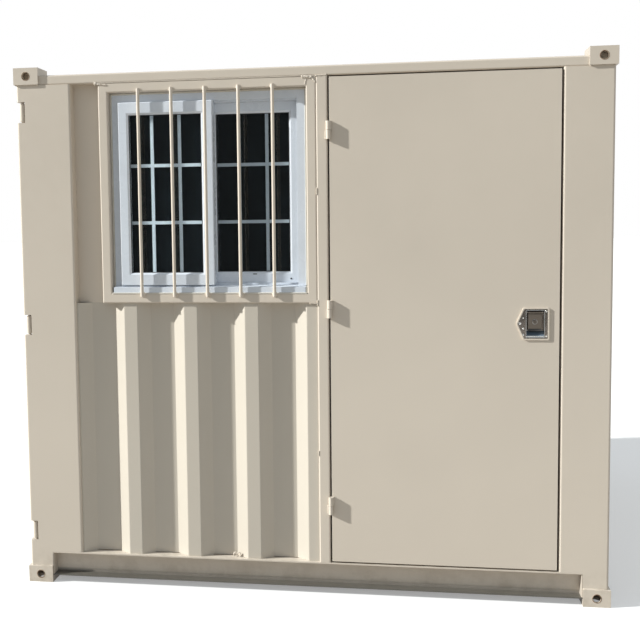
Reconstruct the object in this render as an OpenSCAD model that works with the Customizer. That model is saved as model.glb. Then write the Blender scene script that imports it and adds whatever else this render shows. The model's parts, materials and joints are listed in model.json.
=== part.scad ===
// Small steel storage container with a side door and a barred sliding window.
// Local frame: x from the left end, y as depth behind the front corner blocks, z up.

/* [Overall] */
// Length of the container over its corner blocks
body_l = 2490; // [2300:10:3000]
// Depth of the container over its corner blocks
body_d = 2200; // [1900:10:2440]
// Height of the container over its corner blocks
body_h = 2260; // [2230:5:2400]

/* [Corner blocks] */
// Side of a corner block seen from above
block_w = 110; // [100:1:130]
// Height of a corner block
block_h = 72; // [66:1:90]
// Plate thickness of a corner block
block_wall = 8; // [5:0.5:12]
// Diameter of the round lashing holes
block_hole_d = 33; // [20:1:40]
// Diameter of the hole in the outer flat face of a block
block_lift_d = 56; // [40:1:64]

/* [Posts] */
// How far the posts and rails stand back from the blocks
post_inset = 8; // [4:1:14]
// Plate thickness of the corner posts
post_t = 6; // [3:0.5:8]
// Width of the front plate of a post at the cargo door end
left_post_w = 241; // [180:1:280]
// Width of the front plate of a post at the closed end
right_post_w = 198; // [150:1:240]
// Depth of the folded inner edge of a post
post_flange = 62; // [56:1:80]
// Depth of the boxed edge that faces the cargo doors
post_box_d = 42; // [36:1:50]
// Width of the boxed edge that faces the cargo doors
post_box_w = 92; // [80:1:100]
// Width of the end flange of a post at the closed end
post_end_w = 100; // [80:1:120]
// Outside radius of a fold in post plate
fold_r = 9; // [6.5:0.5:12]
// Outside radius of the corners of the top rails, the jamb and the steel window frame
edge_r = 6; // [5.5:0.5:8]

/* [Rails] */
// Height of a top rail
top_rail_h = 40; // [30:1:60]
// Depth of a top rail
top_rail_d = 60; // [58:1:80]
// How far the top rails stand back behind the posts
top_rail_inset = 2; // [0:0.5:4]
// Distance from the top of the corner blocks down to the top rails
rail_drop = 34; // [26:1:44]
// Wall of a top rail
top_rail_t = 3; // [2:0.5:5]
// Height of the lower edge of a bottom rail above the ground
rail_z = 30; // [15:1:45]
// Height of a bottom rail
rail_h = 108; // [90:1:130]
// Width of the flanges of a bottom rail
rail_flange = 50; // [44:1:60]
// Plate thickness of a bottom rail
rail_t = 6; // [3:0.5:8]
// Middle radius of a fold in rail plate
rail_fold_r = 6; // [4.5:0.5:10]

/* [Floor and roof] */
// Thickness of the floor boards
floor_t = 24; // [18:1:30]
// Number of floor boards
board_count = 3; // [2:1:5]
// Gap between two floor boards
board_gap = 2; // [1:0.5:4]
// Gap between the floor boards and the rails
floor_gap = 2; // [1:0.5:5]
// Height of a floor cross member
member_h = 76; // [60:1:78]
// Flange width of a floor cross member
member_w = 40; // [30:1:60]
// Thickness of a floor cross member
member_t = 4; // [3:0.5:6]
// Middle radius of a fold in a cross member
member_fold_r = 4; // [3.5:0.5:8]
// Number of floor cross members
member_count = 6; // [4:1:8]
// Thickness of the roof sheet
roof_t = 2; // [1.5:0.5:3]
// How far the roof sheet stands back from the outer edge of the top rails
roof_lap = 12; // [5:1:25]
// Height of a pressed roof rib
roof_rib_h = 16; // [8:1:20]
// Width of a pressed roof rib at its foot
roof_rib_w = 190; // [120:5:260]
// Width of the slope round a roof rib
roof_rib_slope = 24; // [16:1:40]
// Number of roof ribs
roof_rib_count = 6; // [4:1:8]
// Distance from the roof ribs to the top rails
roof_rib_end = 60; // [30:5:120]

/* [Corrugated walls] */
// Sheet thickness of the corrugated walls
sheet_t = 2; // [1.5:0.1:2.5]
// Depth of the corrugation
corr_depth = 36; // [24:1:37]
// How far the crests stand back behind the posts
crest_inset = 12; // [8:1:12]
// Width of a crest
crest_w = 57; // [45:1:70]
// Width of a slope between a crest and a valley
slope_w = 52; // [40:1:60]
// Width of a valley
valley_w = 103; // [80:1:120]
// Distance from the left end to the first crest beside the door
first_crest_x = 491; // [450:1:520]
// Radius of the folds in the corrugation
corr_r = 8; // [6:0.5:12]

/* [Window opening] */
// Width of the flat sheet between the post and the steel frame
side_strip_w = 122; // [60:1:250]
// Height of the lower edge of the steel frame above the ground
steel_frame_z = 1247; // [1100:1:1400]
// Face width of the steel frame
steel_frame_face = 42; // [35:1:50]
// Depth of the steel frame
steel_frame_d = 66; // [62:1:70]
// Plate thickness of the steel frame
steel_frame_t = 4; // [3:0.5:5]
// How far the steel frame stands back behind the posts
steel_frame_inset = 2; // [0:0.5:5]
// Diameter of a security bar
bar_d = 14; // [12:0.5:16]
// Distance from the face of the steel frame to the middle of a security bar
bar_out = 12; // [9:0.5:13]
// Diameter of the round pad that holds a bar end on the steel frame
bar_pad_d = 17; // [16.5:0.5:20]
// Distance from the side of the opening to the middle of the first security bar
bar_edge = 137; // [60:1:160]
// Number of security bars
bar_count = 5; // [4:1:6]
// How far a bar laps over the steel frame at each end
bar_lap = 13; // [8:1:20]

/* [Sliding window] */
// How far the window stands back inside the steel frame
window_inset = 34; // [31:1:38]
// Width of the packing between the steel frame and the window
window_packing = 8; // [5:1:12]
// Face width of the fixed window frame
window_face = 34; // [30:1:42]
// Depth of the fixed window frame
window_d = 68; // [68:1:76]
// How far the front sash stands out in front of the fixed frame
sash_out = 27; // [24:1:30]
// Thickness of a sash
sash_d = 38; // [36:1:40]
// Gap between the two sashes
sash_gap = 18; // [16:1:18]
// Depth of the sash behind the sealed glass
sash_back = 3; // [2:0.5:3]
// Width of the rounded-off outer edge of a sash
sash_bevel = 3; // [1:0.5:4]
// Face width of the left stile of the front sash
front_stile_w = 44; // [38:1:50]
// Face width of the right stile of the rear sash
rear_stile_w = 36; // [32:1:44]
// Face width of the meeting stile of a sash
meeting_w = 50; // [46:1:60]
// Face height of a sash rail
sash_rail_h = 54; // [45:1:62]
// How far the two sashes overlap in the middle
sash_overlap = 48; // [44:1:60]
// Thickness of the strip that closes the gap between the meeting stiles
hook_t = 4; // [2:0.5:6]
// Gap between that strip and the rear sash
hook_gap = 1; // [0.5:0.5:2]
// Width of the sloped bead beside the glass
bead_w = 8; // [6:1:12]
// Depth over which the bead slopes
bead_step = 6; // [4:0.5:8]
// Height of the track between the sashes above the fixed frame
track_h = 8; // [6:1:12]
// Gap between the track and a sash
track_gap = 2; // [1:0.5:3]
// How far the sill stands out in front of the fixed frame
sill_out = 32; // [26:1:34]
// Fall of the sill from the fixed frame to its front edge
sill_fall = 5; // [3:1:8]
// Gap between the sill and the front sash
sill_gap = 2; // [1:0.5:3]
// Thickness of a sheet of glass
pane_t = 3; // [3:0.5:4]
// Space between the two sheets of glass
pane_gap = 16; // [12:1:17]
// Width of a glazing bar
grid_w = 14; // [10:1:22]
// Thickness of a glazing bar
grid_t = 5; // [3:0.5:5]
// Share of the width of the glass between the two upright glazing bars
grid_share_x = 0.38; // [0.3:0.01:0.5]
// Share of the height of the glass between the two level glazing bars
grid_share_z = 0.3625; // [0.3:0.0025:0.5]
// Height of the window catch
catch_h = 84; // [60:1:100]
// Width of the window catch
catch_w = 20; // [16:1:30]

/* [Side door] */
// Width of the side door leaf
door_w = 922; // [800:1:960]
// Gap round the door leaf
door_gap = 7; // [6:0.5:9]
// Width of the upright beside the hinges
jamb_w = 47; // [35:1:60]
// Wall of the upright beside the hinges
jamb_t = 3; // [2:0.5:5]
// Thickness of the door skin
skin_t = 2.5; // [2:0.1:3]
// Depth of the folded edge of the door skin
skin_edge = 25; // [15:1:28]
// Face width of the frame behind the skin
door_frame_face = 35; // [30:1:36]
// Depth of the frame behind the skin
door_frame_d = 38; // [34:1:38]
// Plate thickness of the frame behind the skin
door_frame_t = 3; // [2:0.5:4]
// How far the frame stands in from the edge of the skin
door_frame_in = 20; // [18:1:30]
// Thickness of the lining sheet
lining_t = 2; // [1.5:0.5:2.5]
// Face width of the stop behind the door
stop_w = 30; // [28:1:40]
// Thickness of the stop behind the door
stop_t = 4; // [3:0.5:6]
// Thickness of the rubber seal on the stop
seal_t = 8; // [6:0.5:8.5]
// Width of the rubber seal on the stop
seal_w = 20; // [12:1:24]

/* [Side door hinges] */
// Diameter of a hinge barrel
hinge_d = 20; // [16:1:22]
// Distance of the hinge line in front of the door face
hinge_out = 11; // [11:0.5:12]
// Height of a whole hinge
hinge_h = 74; // [60:1:90]
// Gap between the two knuckles of a hinge
knuckle_gap = 1; // [0.5:0.5:2]
// Diameter of the hinge pin
pin_d = 10; // [8:0.5:12]
// Radial clearance of the hinge pin in the door knuckle
pin_clear = 0.1; // [0.05:0.01:0.1]
// How far the welded foot of a hinge stands out beside its barrel
hinge_foot_out = 3; // [1:0.5:4]
// Height of the lowest hinge above the ground
hinge_low = 389; // [300:1:450]
// Height of the middle hinge above the ground
hinge_middle = 1223; // [900:1:1300]
// Distance from the top of the door leaf down to the highest hinge
hinge_drop = 217; // [150:1:300]

/* [Paddle latch] */
// Distance from the latch tip to the free edge of the door
latch_x = 167; // [160:1:200]
// Height of the latch centre above the ground
latch_z = 1164; // [1000:1:1250]
// Width of the latch plate from its tip
latch_w = 123; // [118:1:130]
// Height of the latch plate
latch_h = 122; // [118:1:130]
// Length of the pointed part of the latch plate
latch_tip = 24; // [18:1:26]
// Radius of the square corners of the latch plate
latch_corner_r = 9; // [4:1:12]
// Radius of the tip of the latch plate and the corners beside it
latch_tip_r = 4; // [2:0.5:6]
// Thickness of the latch plate
latch_t = 3; // [2:0.5:4]
// Width of the recess in the latch
cup_w = 70; // [64:1:72]
// Height of the recess in the latch
cup_h = 112; // [104:1:114]
// Depth of the recess in the latch
cup_d = 26; // [22:1:30]
// Height of the sloped lower end of the recess
cup_slope_h = 26; // [20:1:30]
// Wall of the recess in the latch
cup_t = 1.5; // [1:0.5:2]
// Distance from the right edge of the latch plate to the recess
cup_edge = 16; // [13:1:18]
// Width of the paddle
paddle_w = 53; // [46:1:56]
// Length of the paddle below its pin
paddle_l = 77; // [66:1:80]
// Thickness of the paddle
paddle_t = 2.5; // [2:0.5:3]
// How far the paddle leans in towards its lower end
paddle_lean = 4; // [2:0.5:6]
// Width of the lip turned out at the lower end of the paddle
lip_w = 8; // [5:0.5:10]
// Middle radius of the fold at the lip
lip_r = 4; // [2:0.5:5]
// Distance from the door face back to the paddle pin
paddle_pin_y = 9; // [8:0.5:12]
// Distance from the top of the recess down to the paddle pin
paddle_pin_drop = 9; // [8:0.5:12]
// Length of the lock barrel in front of the paddle
lock_l = 4; // [3:0.5:5]
// Diameter of the paddle pin
paddle_pin_d = 5; // [4:0.5:6]
// Wall of the paddle's barrel round its pin
paddle_barrel_t = 2.5; // [2:0.5:3]
// Gap between the lock barrel and the paddle that it sits on
lock_seat = 0.1; // [0.05:0.05:0.3]
// Diameter of the lock barrel
lock_d = 16; // [12:1:20]

/* [Cargo doors] */
// How far the cargo doors stand back from the corner blocks
cargo_inset = 42; // [38:1:46]
// Thickness of a cargo door frame
cargo_frame_d = 50; // [40:1:54]
// Face width of a cargo door frame
cargo_face = 60; // [50:1:80]
// Gap round a cargo door leaf
cargo_gap = 8; // [5:1:12]
// Depth of the pressings in a cargo door
cargo_press = 30; // [20:1:36]
// Height of one pressing in a cargo door
press_h = 150; // [100:5:200]
// Number of pressings in a cargo door
press_count = 5; // [3:1:6]
// Width of the slope of a pressing
press_slope = 15; // [10:1:30]
// Plate thickness of a cargo door frame
cargo_frame_t = 3; // [2:0.5:4]
// How far the header and sill stand back behind the cargo door faces
cargo_rail_inset = 2; // [0:1:6]
// Diameter of a locking rod
rod_d = 27; // [22:1:28]
// Gap between the locking rods and the cargo doors
rod_gap = 1; // [0.5:0.5:3]
// Radial clearance of the rods and the cargo hinges on their pins
rod_play = 0.2; // [0.1:0.05:0.3]
// Length of a locking rod beyond the gap above and below the door
rod_over = 34; // [24:1:38]
// Height of a rod bracket
bracket_h = 60; // [40:1:80]
// Width of a rod bracket
bracket_w = 60; // [45:1:80]
// Height of a rod keeper on the header and sill
keeper_h = 24; // [16:1:30]
// Distance from the end of a door leaf to its outer brackets
bracket_in = 200; // [120:10:300]
// Thickness of a rod handle
handle_t = 8; // [5:1:9]
// Height of a rod handle
handle_h = 32; // [24:1:45]
// Distance from the middle of the doors to a locking rod
rod_y = 190; // [120:5:300]
// Height of the cargo door handles above the ground
cargo_handle_z = 1050; // [900:10:1200]
// Length of a cargo door handle
cargo_handle_l = 340; // [240:10:360]
// Width of the notches for the cargo door hinges
notch_w = 37; // [30:1:40]
// Height of the notches for the cargo door hinges
notch_h = 88; // [80:1:100]
// Height of the lowest cargo door hinge above the ground
cargo_hinge_low = 230; // [190:1:300]
// Distance from the top of the container down to the highest cargo door hinge
cargo_hinge_drop = 188; // [170:1:260]
// Distance from the end of the posts to a cargo hinge pin
cargo_pin_in = 19; // [17:1:22]
// Distance from the front plate of a post to a cargo hinge pin
cargo_pin_back = 22; // [20:1:24]
// Gap above and below a cargo hinge in its notch
cargo_hinge_play = 6; // [3:1:10]
// Diameter of a cargo hinge barrel
cargo_barrel_d = 26; // [20:1:28]
// Diameter of a cargo hinge pin
cargo_pin_d = 12; // [10:1:14]
// Thickness of a cargo hinge blade
blade_t = 8; // [6:1:10]
// Length of a cargo hinge blade on the door
blade_l = 130; // [90:5:160]
// Thickness of a lug inside the post
lug_t = 10; // [6:1:14]
// Width of the rubber gasket round the cargo doors
gasket_w = 14; // [10:1:20]

/* [Hidden] */
$fn = 48;
// How far a cutting shape runs past the face that it cuts
past = 1;
// The same where it runs past a whole piece
far_past = 50;
// Smallest overlap that joins two shapes of one solid
eps = 0.01;
// Number of facets in a fold of sheet
bend_steps = 5;

// The hinge barrels are the furthest pieces in front of the blocks
front_reach = hinge_out + hinge_d / 2 - post_inset;

// Depths and heights that several pieces share
face_y = post_inset;
rail_top = rail_z + rail_h;
top_rail_z = body_h - rail_drop - top_rail_h;
top_rail_y = face_y + top_rail_inset;
roof_z = top_rail_z + top_rail_h;
post_top = body_h - block_h;
pitch = crest_w + valley_w + 2 * slope_w;
crest_y = face_y + crest_inset + sheet_t / 2;
valley_y = crest_y + corr_depth;
rail_web_y = face_y + rail_flange;

// Positions along the front wall
left_edge = post_inset + left_post_w;
right_edge = body_l - post_inset - right_post_w;
door_x = right_edge - door_gap - door_w;
jamb_x = door_x - door_gap - jamb_w;
frame_x = left_edge + side_strip_w;
steel_frame_w = jamb_x - frame_x;

// Door leaf
door_z = rail_top + door_gap;
door_h = top_rail_z - door_gap - door_z;
stop_y = face_y + post_flange - stop_t;
hinge_x = door_x - door_gap / 2;
hinge_y = face_y - hinge_out;
knuckle_h = (hinge_h - knuckle_gap) / 2;
foot_w = (hinge_d - door_gap) / 2 + hinge_foot_out;
hinge_z = [hinge_low, hinge_middle, door_z + door_h - hinge_drop];

// Window
steel_y = face_y + steel_frame_inset;
steel_h = top_rail_z - steel_frame_z;
opening_x = frame_x + steel_frame_face;
opening_w = steel_frame_w - 2 * steel_frame_face;
opening_h = steel_h - 2 * steel_frame_face;
window_x = opening_x + window_packing;
window_z = steel_frame_z + steel_frame_face;
window_w = opening_w - 2 * window_packing;
window_h = opening_h - window_packing;
window_y = steel_y + window_inset;
sashes_w = window_w - 2 * window_face + sash_overlap;
pane_w = (sashes_w - front_stile_w - rear_stile_w - 2 * meeting_w) / 2;
left_sash_w = front_stile_w + pane_w + meeting_w;
right_sash_w = meeting_w + pane_w + rear_stile_w;
sash_h = window_h - 2 * window_face;
left_sash_x = window_x + window_face;
right_sash_x = left_sash_x + left_sash_w - sash_overlap;
sash_z = window_z + window_face;
left_sash_y = window_y - sash_out;
right_sash_y = left_sash_y + sash_d + sash_gap;
pane_h = sash_h - 2 * sash_rail_h;
unit_t = 2 * pane_t + pane_gap;
unit_in = sash_d - unit_t - sash_back;
bar_len = opening_h + 2 * bar_lap;
bar_pitch = (opening_w - 2 * bar_edge) / (bar_count - 1);
grid_pitch_x = grid_share_x * pane_w;
grid_pitch_z = grid_share_z * pane_h;

// Latch, measured from its own centre on the door face
latch_left = door_x + door_w - latch_x;
cup_x = latch_w - cup_edge - cup_w;
paddle_x = cup_x + (cup_w - paddle_w) / 2;
paddle_pin_z = cup_h / 2 - paddle_pin_drop;
knuckle_d = paddle_pin_d + 2 * paddle_barrel_t;
lock_drop = (knuckle_d + paddle_l - lip_w) / 2;
lean_angle = atan(paddle_lean / (paddle_l - lip_w - knuckle_d));

// Cargo doors
cargo_y0 = face_y + post_box_d + cargo_gap;
cargo_leaf_w = (body_d - 2 * cargo_y0 - cargo_gap) / 2;
cargo_z = rail_top + cargo_gap;
cargo_h = top_rail_z - cargo_gap - cargo_z;
cargo_rail_x = cargo_inset + cargo_rail_inset;
rod_x = cargo_inset - rod_d / 2 - rod_gap;
cargo_pin_x = post_inset + cargo_pin_in;
cargo_pin_y = face_y + cargo_pin_back;
cargo_hinge_top = body_h - cargo_hinge_drop;
cargo_hinge_z = [cargo_hinge_low, (cargo_hinge_low + cargo_hinge_top) / 2, cargo_hinge_top];

// Moves the local frame so that the ground centre of the whole object is the origin
module place() {
    translate([-body_l / 2, -(body_d - front_reach) / 2, 0]) children();
}

// Mirrors from the front wall to the back wall
module to_back() {
    translate([0, body_d, 0]) mirror([0, 1, 0]) children();
}

// Mirrors from the left end to the right end
module to_right() {
    translate([body_l, 0, 0]) mirror([1, 0, 0]) children();
}

module at_four_corners() {
    children();
    to_back() children();
    to_right() children();
    to_back() to_right() children();
}

// Outline of a sheet of thickness t folded along a path, with bends of middle radius r
function turned(v, a) = [v[0] * cos(a) - v[1] * sin(a), v[0] * sin(a) + v[1] * cos(a)];
function unit(v) = v / norm(v);
function bend_points(before, at, after, t, r, side) =
    let (
        d1 = unit(at - before),
        d2 = unit(after - at),
        s = sign(d1[0] * d2[1] - d1[1] * d2[0]),
        angle = acos(max(-1, min(1, d1 * d2))),
        centre = at - d1 * r * tan(angle / 2) + turned(d1, 90) * s * r,
        radius = r - s * side * t / 2
    )
    [for (k = [0:bend_steps]) centre - turned(turned(d1, 90) * s, s * angle * k / bend_steps) * radius];
function edge_points(path, t, r, side) =
    let (n = len(path))
    concat(
        [path[0] + turned(unit(path[1] - path[0]), 90) * side * t / 2],
        [for (i = [1:n - 2]) each bend_points(path[i - 1], path[i], path[i + 1], t, r, side)],
        [path[n - 1] + turned(unit(path[n - 1] - path[n - 2]), 90) * side * t / 2]
    );
function reversed(list) = [for (i = [len(list) - 1:-1:0]) list[i]];
module folded_sheet(path, t, r) {
    polygon(concat(edge_points(path, t, r, 1), reversed(edge_points(path, t, r, -1))));
}

// Outline through the points p with a corner of radius r[i] at each of them
module rounded_outline(p, r) {
    n = len(p);
    polygon([for (i = [0:n - 1])
        each bend_points(p[(i + n - 1) % n], p[i], p[(i + 1) % n], 0, r[i], 0)]);
}

// Section of a rectangular tube with rounded corners
module tube_section(w, h, t) {
    inner_r = edge_r - t;
    difference() {
        rounded_outline([[0, 0], [w, 0], [w, h], [0, h]], [edge_r, edge_r, edge_r, edge_r]);
        translate([t, t])
            rounded_outline([[0, 0], [w - 2 * t, 0], [w - 2 * t, h - 2 * t], [0, h - 2 * t]],
                [inner_r, inner_r, inner_r, inner_r]);
    }
}

// Plan of a corrugated sheet from x0 to x1 with a crest centred on first_x
module corrugation(x0, x1, first_x) {
    before = ceil((first_x - x0) / pitch) + 1;
    after = ceil((x1 - first_x) / pitch) + 1;
    path = concat(
        [[first_x - before * pitch - pitch / 2, valley_y]],
        [for (k = [-before:after], p = [
            [-crest_w / 2 - slope_w, valley_y], [-crest_w / 2, crest_y],
            [crest_w / 2, crest_y], [crest_w / 2 + slope_w, valley_y]
        ]) [first_x + k * pitch + p[0], p[1]]],
        [[first_x + (after + 1) * pitch, valley_y]]
    );
    intersection() {
        folded_sheet(path, sheet_t, corr_r);
        translate([x0, 0]) square([x1 - x0, valley_y + far_past]);
    }
}

// Rectangular frame in a wall: plate in front, flanges inside and outside, open at the back
module channel_frame(w, h, face, depth, t) {
    difference() {
        cube([w, depth, h]);
        translate([face, -past, face]) cube([w - 2 * face, depth + 2 * past, h - 2 * face]);
        difference() {
            translate([t, t, t]) cube([w - 2 * t, depth, h - 2 * t]);
            translate([face - t, 0, face - t])
                cube([w - 2 * (face - t), depth + t + past, h - 2 * (face - t)]);
        }
    }
}

// Upright of a mitred frame, l long: its section has x from the outer edge of the frame
module mitred_member(l, face, depth) {
    intersection() {
        linear_extrude(l) children();
        translate([0, depth + past, 0]) rotate([90, 0, 0]) linear_extrude(depth + 2 * past)
            polygon([
                [-past, -past], [face + past, face + past],
                [face + past, l - face - past], [-past, l + past]
            ]);
    }
}

// Rectangular frame of four mitred members
module mitred_frame(w, h, face, depth) {
    mitred_member(h, face, depth) children();
    translate([w, 0, 0]) mirror([1, 0, 0]) mitred_member(h, face, depth) children();
    mirror([1, 0, -1]) mitred_member(w, face, depth) children();
    translate([0, 0, h]) mirror([0, 0, 1]) mirror([1, 0, -1])
        mitred_member(w, face, depth) children();
}

// Flat rectangular frame with unequal uprights and rails
module flat_frame(w, h, side, rail, depth) {
    difference() {
        cube([w, depth, h]);
        translate([side, -past, rail]) cube([w - 2 * side, depth + 2 * past, h - 2 * rail]);
    }
}

// One hollow corner block with a round hole in each outer face; flat is the outer level face
module corner_block(flat) {
    inner = block_w - 2 * block_wall;
    hole_z = block_h / 2;
    difference() {
        cube([block_w, block_w, block_h]);
        translate([block_wall, block_wall, block_wall])
            cube([inner, inner, block_h - 2 * block_wall]);
        translate([block_w / 2, -past, hole_z]) rotate([-90, 0, 0])
            cylinder(d = block_hole_d, h = block_wall + 2 * past);
        translate([-past, block_w / 2, hole_z]) rotate([0, 90, 0])
            cylinder(d = block_hole_d, h = block_wall + 2 * past);
        translate([block_w / 2, block_w / 2, flat ? block_h - block_wall - past : -past])
            cylinder(d = block_lift_d, h = block_wall + 2 * past);
    }
}

module bottom_corner_blocks() {
    color([0.80, 0.76, 0.70]) place() at_four_corners() corner_block(false);
}

module top_corner_blocks() {
    color([0.80, 0.76, 0.70]) place() at_four_corners()
        translate([0, 0, post_top]) corner_block(true);
}

// Cuts a post round the rails, which run between the corner blocks
module post_trim() {
    difference() {
        children();
        translate([block_w, -past, 0]) cube([body_l, block_w + 2 * past, rail_top]);
        translate([block_w, -past, top_rail_z]) cube([body_l, block_w + 2 * past, body_h]);
    }
}

module post_body() {
    translate([0, 0, block_h]) linear_extrude(post_top - block_h) children();
}

// Post at the cargo door end, boxed along the door edge and notched for the hinges
module cargo_post() {
    h = post_t / 2;
    post_trim() difference() {
        union() {
            post_body() folded_sheet([
                [left_edge - h, face_y + post_flange], [left_edge - h, face_y + h],
                [post_inset + h, face_y + h], [post_inset + h, face_y + post_box_d - h],
                [post_inset + post_box_w, face_y + post_box_d - h]
            ], post_t, fold_r - h);
            post_body() translate([post_inset + post_box_w - post_t, face_y + h])
                square([post_t, post_box_d - post_t]);
        }
        for (z = cargo_hinge_z) translate([-past, -past, z - notch_h / 2])
            cube([post_inset + notch_w + past, face_y + post_box_d + 2 * past, notch_h]);
    }
}

// Post at the closed end, a folded channel
module plain_post() {
    h = post_t / 2;
    post_trim() post_body() folded_sheet([
        [post_inset + right_post_w - h, face_y + post_flange],
        [post_inset + right_post_w - h, face_y + h],
        [post_inset + h, face_y + h],
        [post_inset + h, face_y + post_end_w - h],
        [post_inset + rail_flange, face_y + post_end_w - h]
    ], post_t, fold_r - h);
}

module front_left_post() {
    color([0.80, 0.76, 0.70]) place() cargo_post();
}

module back_left_post() {
    color([0.80, 0.76, 0.70]) place() to_back() cargo_post();
}

module front_right_post() {
    color([0.80, 0.76, 0.70]) place() to_right() plain_post();
}

module back_right_post() {
    color([0.80, 0.76, 0.70]) place() to_back() to_right() plain_post();
}

// Top rail along x between two corner blocks
module long_top_rail() {
    translate([block_w, top_rail_y, top_rail_z]) rotate([90, 0, 90])
        linear_extrude(body_l - 2 * block_w) tube_section(top_rail_d, top_rail_h, top_rail_t);
}

// Top rail along y between two corner blocks
module cross_top_rail() {
    translate([0, body_d - block_w, top_rail_z]) rotate([90, 0, 0])
        linear_extrude(body_d - 2 * block_w) tube_section(top_rail_d, top_rail_h, top_rail_t);
}

module front_top_rail() {
    color([0.80, 0.76, 0.70]) place() long_top_rail();
}

module back_top_rail() {
    color([0.80, 0.76, 0.70]) place() to_back() long_top_rail();
}

module right_top_rail() {
    color([0.80, 0.76, 0.70]) place() to_right() translate([top_rail_y, 0, 0]) cross_top_rail();
}

module cargo_header() {
    color([0.80, 0.76, 0.70]) place() translate([cargo_rail_x, 0, 0]) cross_top_rail();
}

// Section of a bottom rail: a channel that opens outwards
module rail_section() {
    h = rail_t / 2;
    folded_sheet([
        [0, rail_z + h], [rail_flange - h, rail_z + h],
        [rail_flange - h, rail_top - h], [0, rail_top - h]
    ], rail_t, rail_fold_r);
}

module long_bottom_rail() {
    translate([block_w, face_y, 0]) rotate([90, 0, 90])
        linear_extrude(body_l - 2 * block_w) rail_section();
}

module cross_bottom_rail() {
    translate([0, body_d - block_w, 0]) rotate([90, 0, 0])
        linear_extrude(body_d - 2 * block_w) rail_section();
}

module front_bottom_rail() {
    color([0.80, 0.76, 0.70]) place() long_bottom_rail();
}

module back_bottom_rail() {
    color([0.80, 0.76, 0.70]) place() to_back() long_bottom_rail();
}

module right_bottom_rail() {
    color([0.80, 0.76, 0.70]) place() to_right() translate([face_y, 0, 0]) cross_bottom_rail();
}

// The sill turns its flat web outwards, so that the keepers of the rods sit on it
module cargo_sill() {
    color([0.80, 0.76, 0.70]) place() translate([cargo_rail_x + rail_flange, 0, 0])
        mirror([1, 0, 0]) cross_bottom_rail();
}

module floor_boards() {
    x0 = cargo_rail_x + rail_flange + floor_gap;
    y0 = rail_web_y + floor_gap;
    whole = body_l - y0 - x0;
    width = (whole - (board_count - 1) * board_gap) / board_count;
    color([0.62, 0.45, 0.28]) place()
        for (i = [0:board_count - 1])
            translate([x0 + i * (width + board_gap), y0, rail_top - floor_t])
                cube([width, body_d - 2 * y0, floor_t]);
}

module floor_cross_members() {
    h = member_t / 2;
    x0 = block_w + member_w;
    step = (body_l - 2 * x0 - member_w) / (member_count - 1);
    z0 = rail_top - floor_t - member_h;
    color([0.78, 0.74, 0.68]) place()
        for (i = [0:member_count - 1])
            translate([x0 + i * step, body_d - rail_web_y, z0]) rotate([90, 0, 0])
                linear_extrude(body_d - 2 * rail_web_y)
                    folded_sheet([
                        [member_w, h], [h, h], [h, member_h - h], [member_w, member_h - h]
                    ], member_t, member_fold_r);
}

// Pressed rib of the roof, as a block with four sloped sides from z0 up to z1; it has its
// stated length and width where it leaves the top of the sheet
module roof_rib(l, w, z0, z1) {
    run = roof_rib_slope / roof_rib_h;
    low = run * (z0 - roof_z - roof_t);
    top = run * (z1 - roof_z - roof_t);
    intersection() {
        translate([0, l / 2 + far_past, 0]) rotate([90, 0, 0]) linear_extrude(l + 2 * far_past)
            polygon([[low - w / 2, z0], [w / 2 - low, z0], [w / 2 - top, z1], [top - w / 2, z1]]);
        translate([-w / 2 - far_past, 0, 0]) rotate([90, 0, 90]) linear_extrude(w + 2 * far_past)
            polygon([[low - l / 2, z0], [l / 2 - low, z0], [l / 2 - top, z1], [top - l / 2, z1]]);
    }
}

module roof_panel() {
    edge = top_rail_y + roof_lap;
    edge_x = cargo_rail_x + roof_lap;
    rib_l = body_d - 2 * (top_rail_y + top_rail_d + roof_rib_end);
    step = (body_l - 2 * block_w) / roof_rib_count;
    wall = 2 * roof_t * norm([roof_rib_slope, roof_rib_h]) / roof_rib_h;
    color([0.80, 0.76, 0.70]) place() difference() {
        union() {
            translate([edge_x, edge, roof_z])
                cube([body_l - edge - edge_x, body_d - 2 * edge, roof_t]);
            for (i = [0:roof_rib_count - 1])
                translate([block_w + (i + 0.5) * step, body_d / 2, 0])
                    roof_rib(rib_l, roof_rib_w, roof_z, roof_z + roof_t + roof_rib_h);
        }
        for (i = [0:roof_rib_count - 1])
            translate([block_w + (i + 0.5) * step, body_d / 2, 0])
                roof_rib(rib_l - wall, roof_rib_w - wall, roof_z - past, roof_z + roof_rib_h);
        at_four_corners() translate([-far_past, -far_past, roof_z - past])
            cube([block_w + far_past, block_w + far_past, roof_t + 2 * past]);
    }
}

module front_panel_lower() {
    color([0.80, 0.76, 0.70]) place() translate([0, 0, rail_top])
        linear_extrude(steel_frame_z - rail_top) corrugation(left_edge, jamb_x, first_crest_x);
}

module front_panel_side() {
    color([0.80, 0.76, 0.70]) place()
        translate([left_edge, valley_y - sheet_t / 2, steel_frame_z])
            cube([frame_x - left_edge, sheet_t, steel_h]);
}

module back_wall_panel() {
    color([0.80, 0.76, 0.70]) place() to_back() translate([0, 0, rail_top])
        linear_extrude(top_rail_z - rail_top)
            corrugation(left_edge, right_edge, (left_edge + right_edge) / 2);
}

module right_wall_panel() {
    y0 = face_y + post_end_w;
    color([0.80, 0.76, 0.70]) place() to_right() translate([0, body_d, rail_top])
        rotate([0, 0, -90]) linear_extrude(top_rail_z - rail_top)
            corrugation(y0, body_d - y0, body_d / 2);
}

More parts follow.
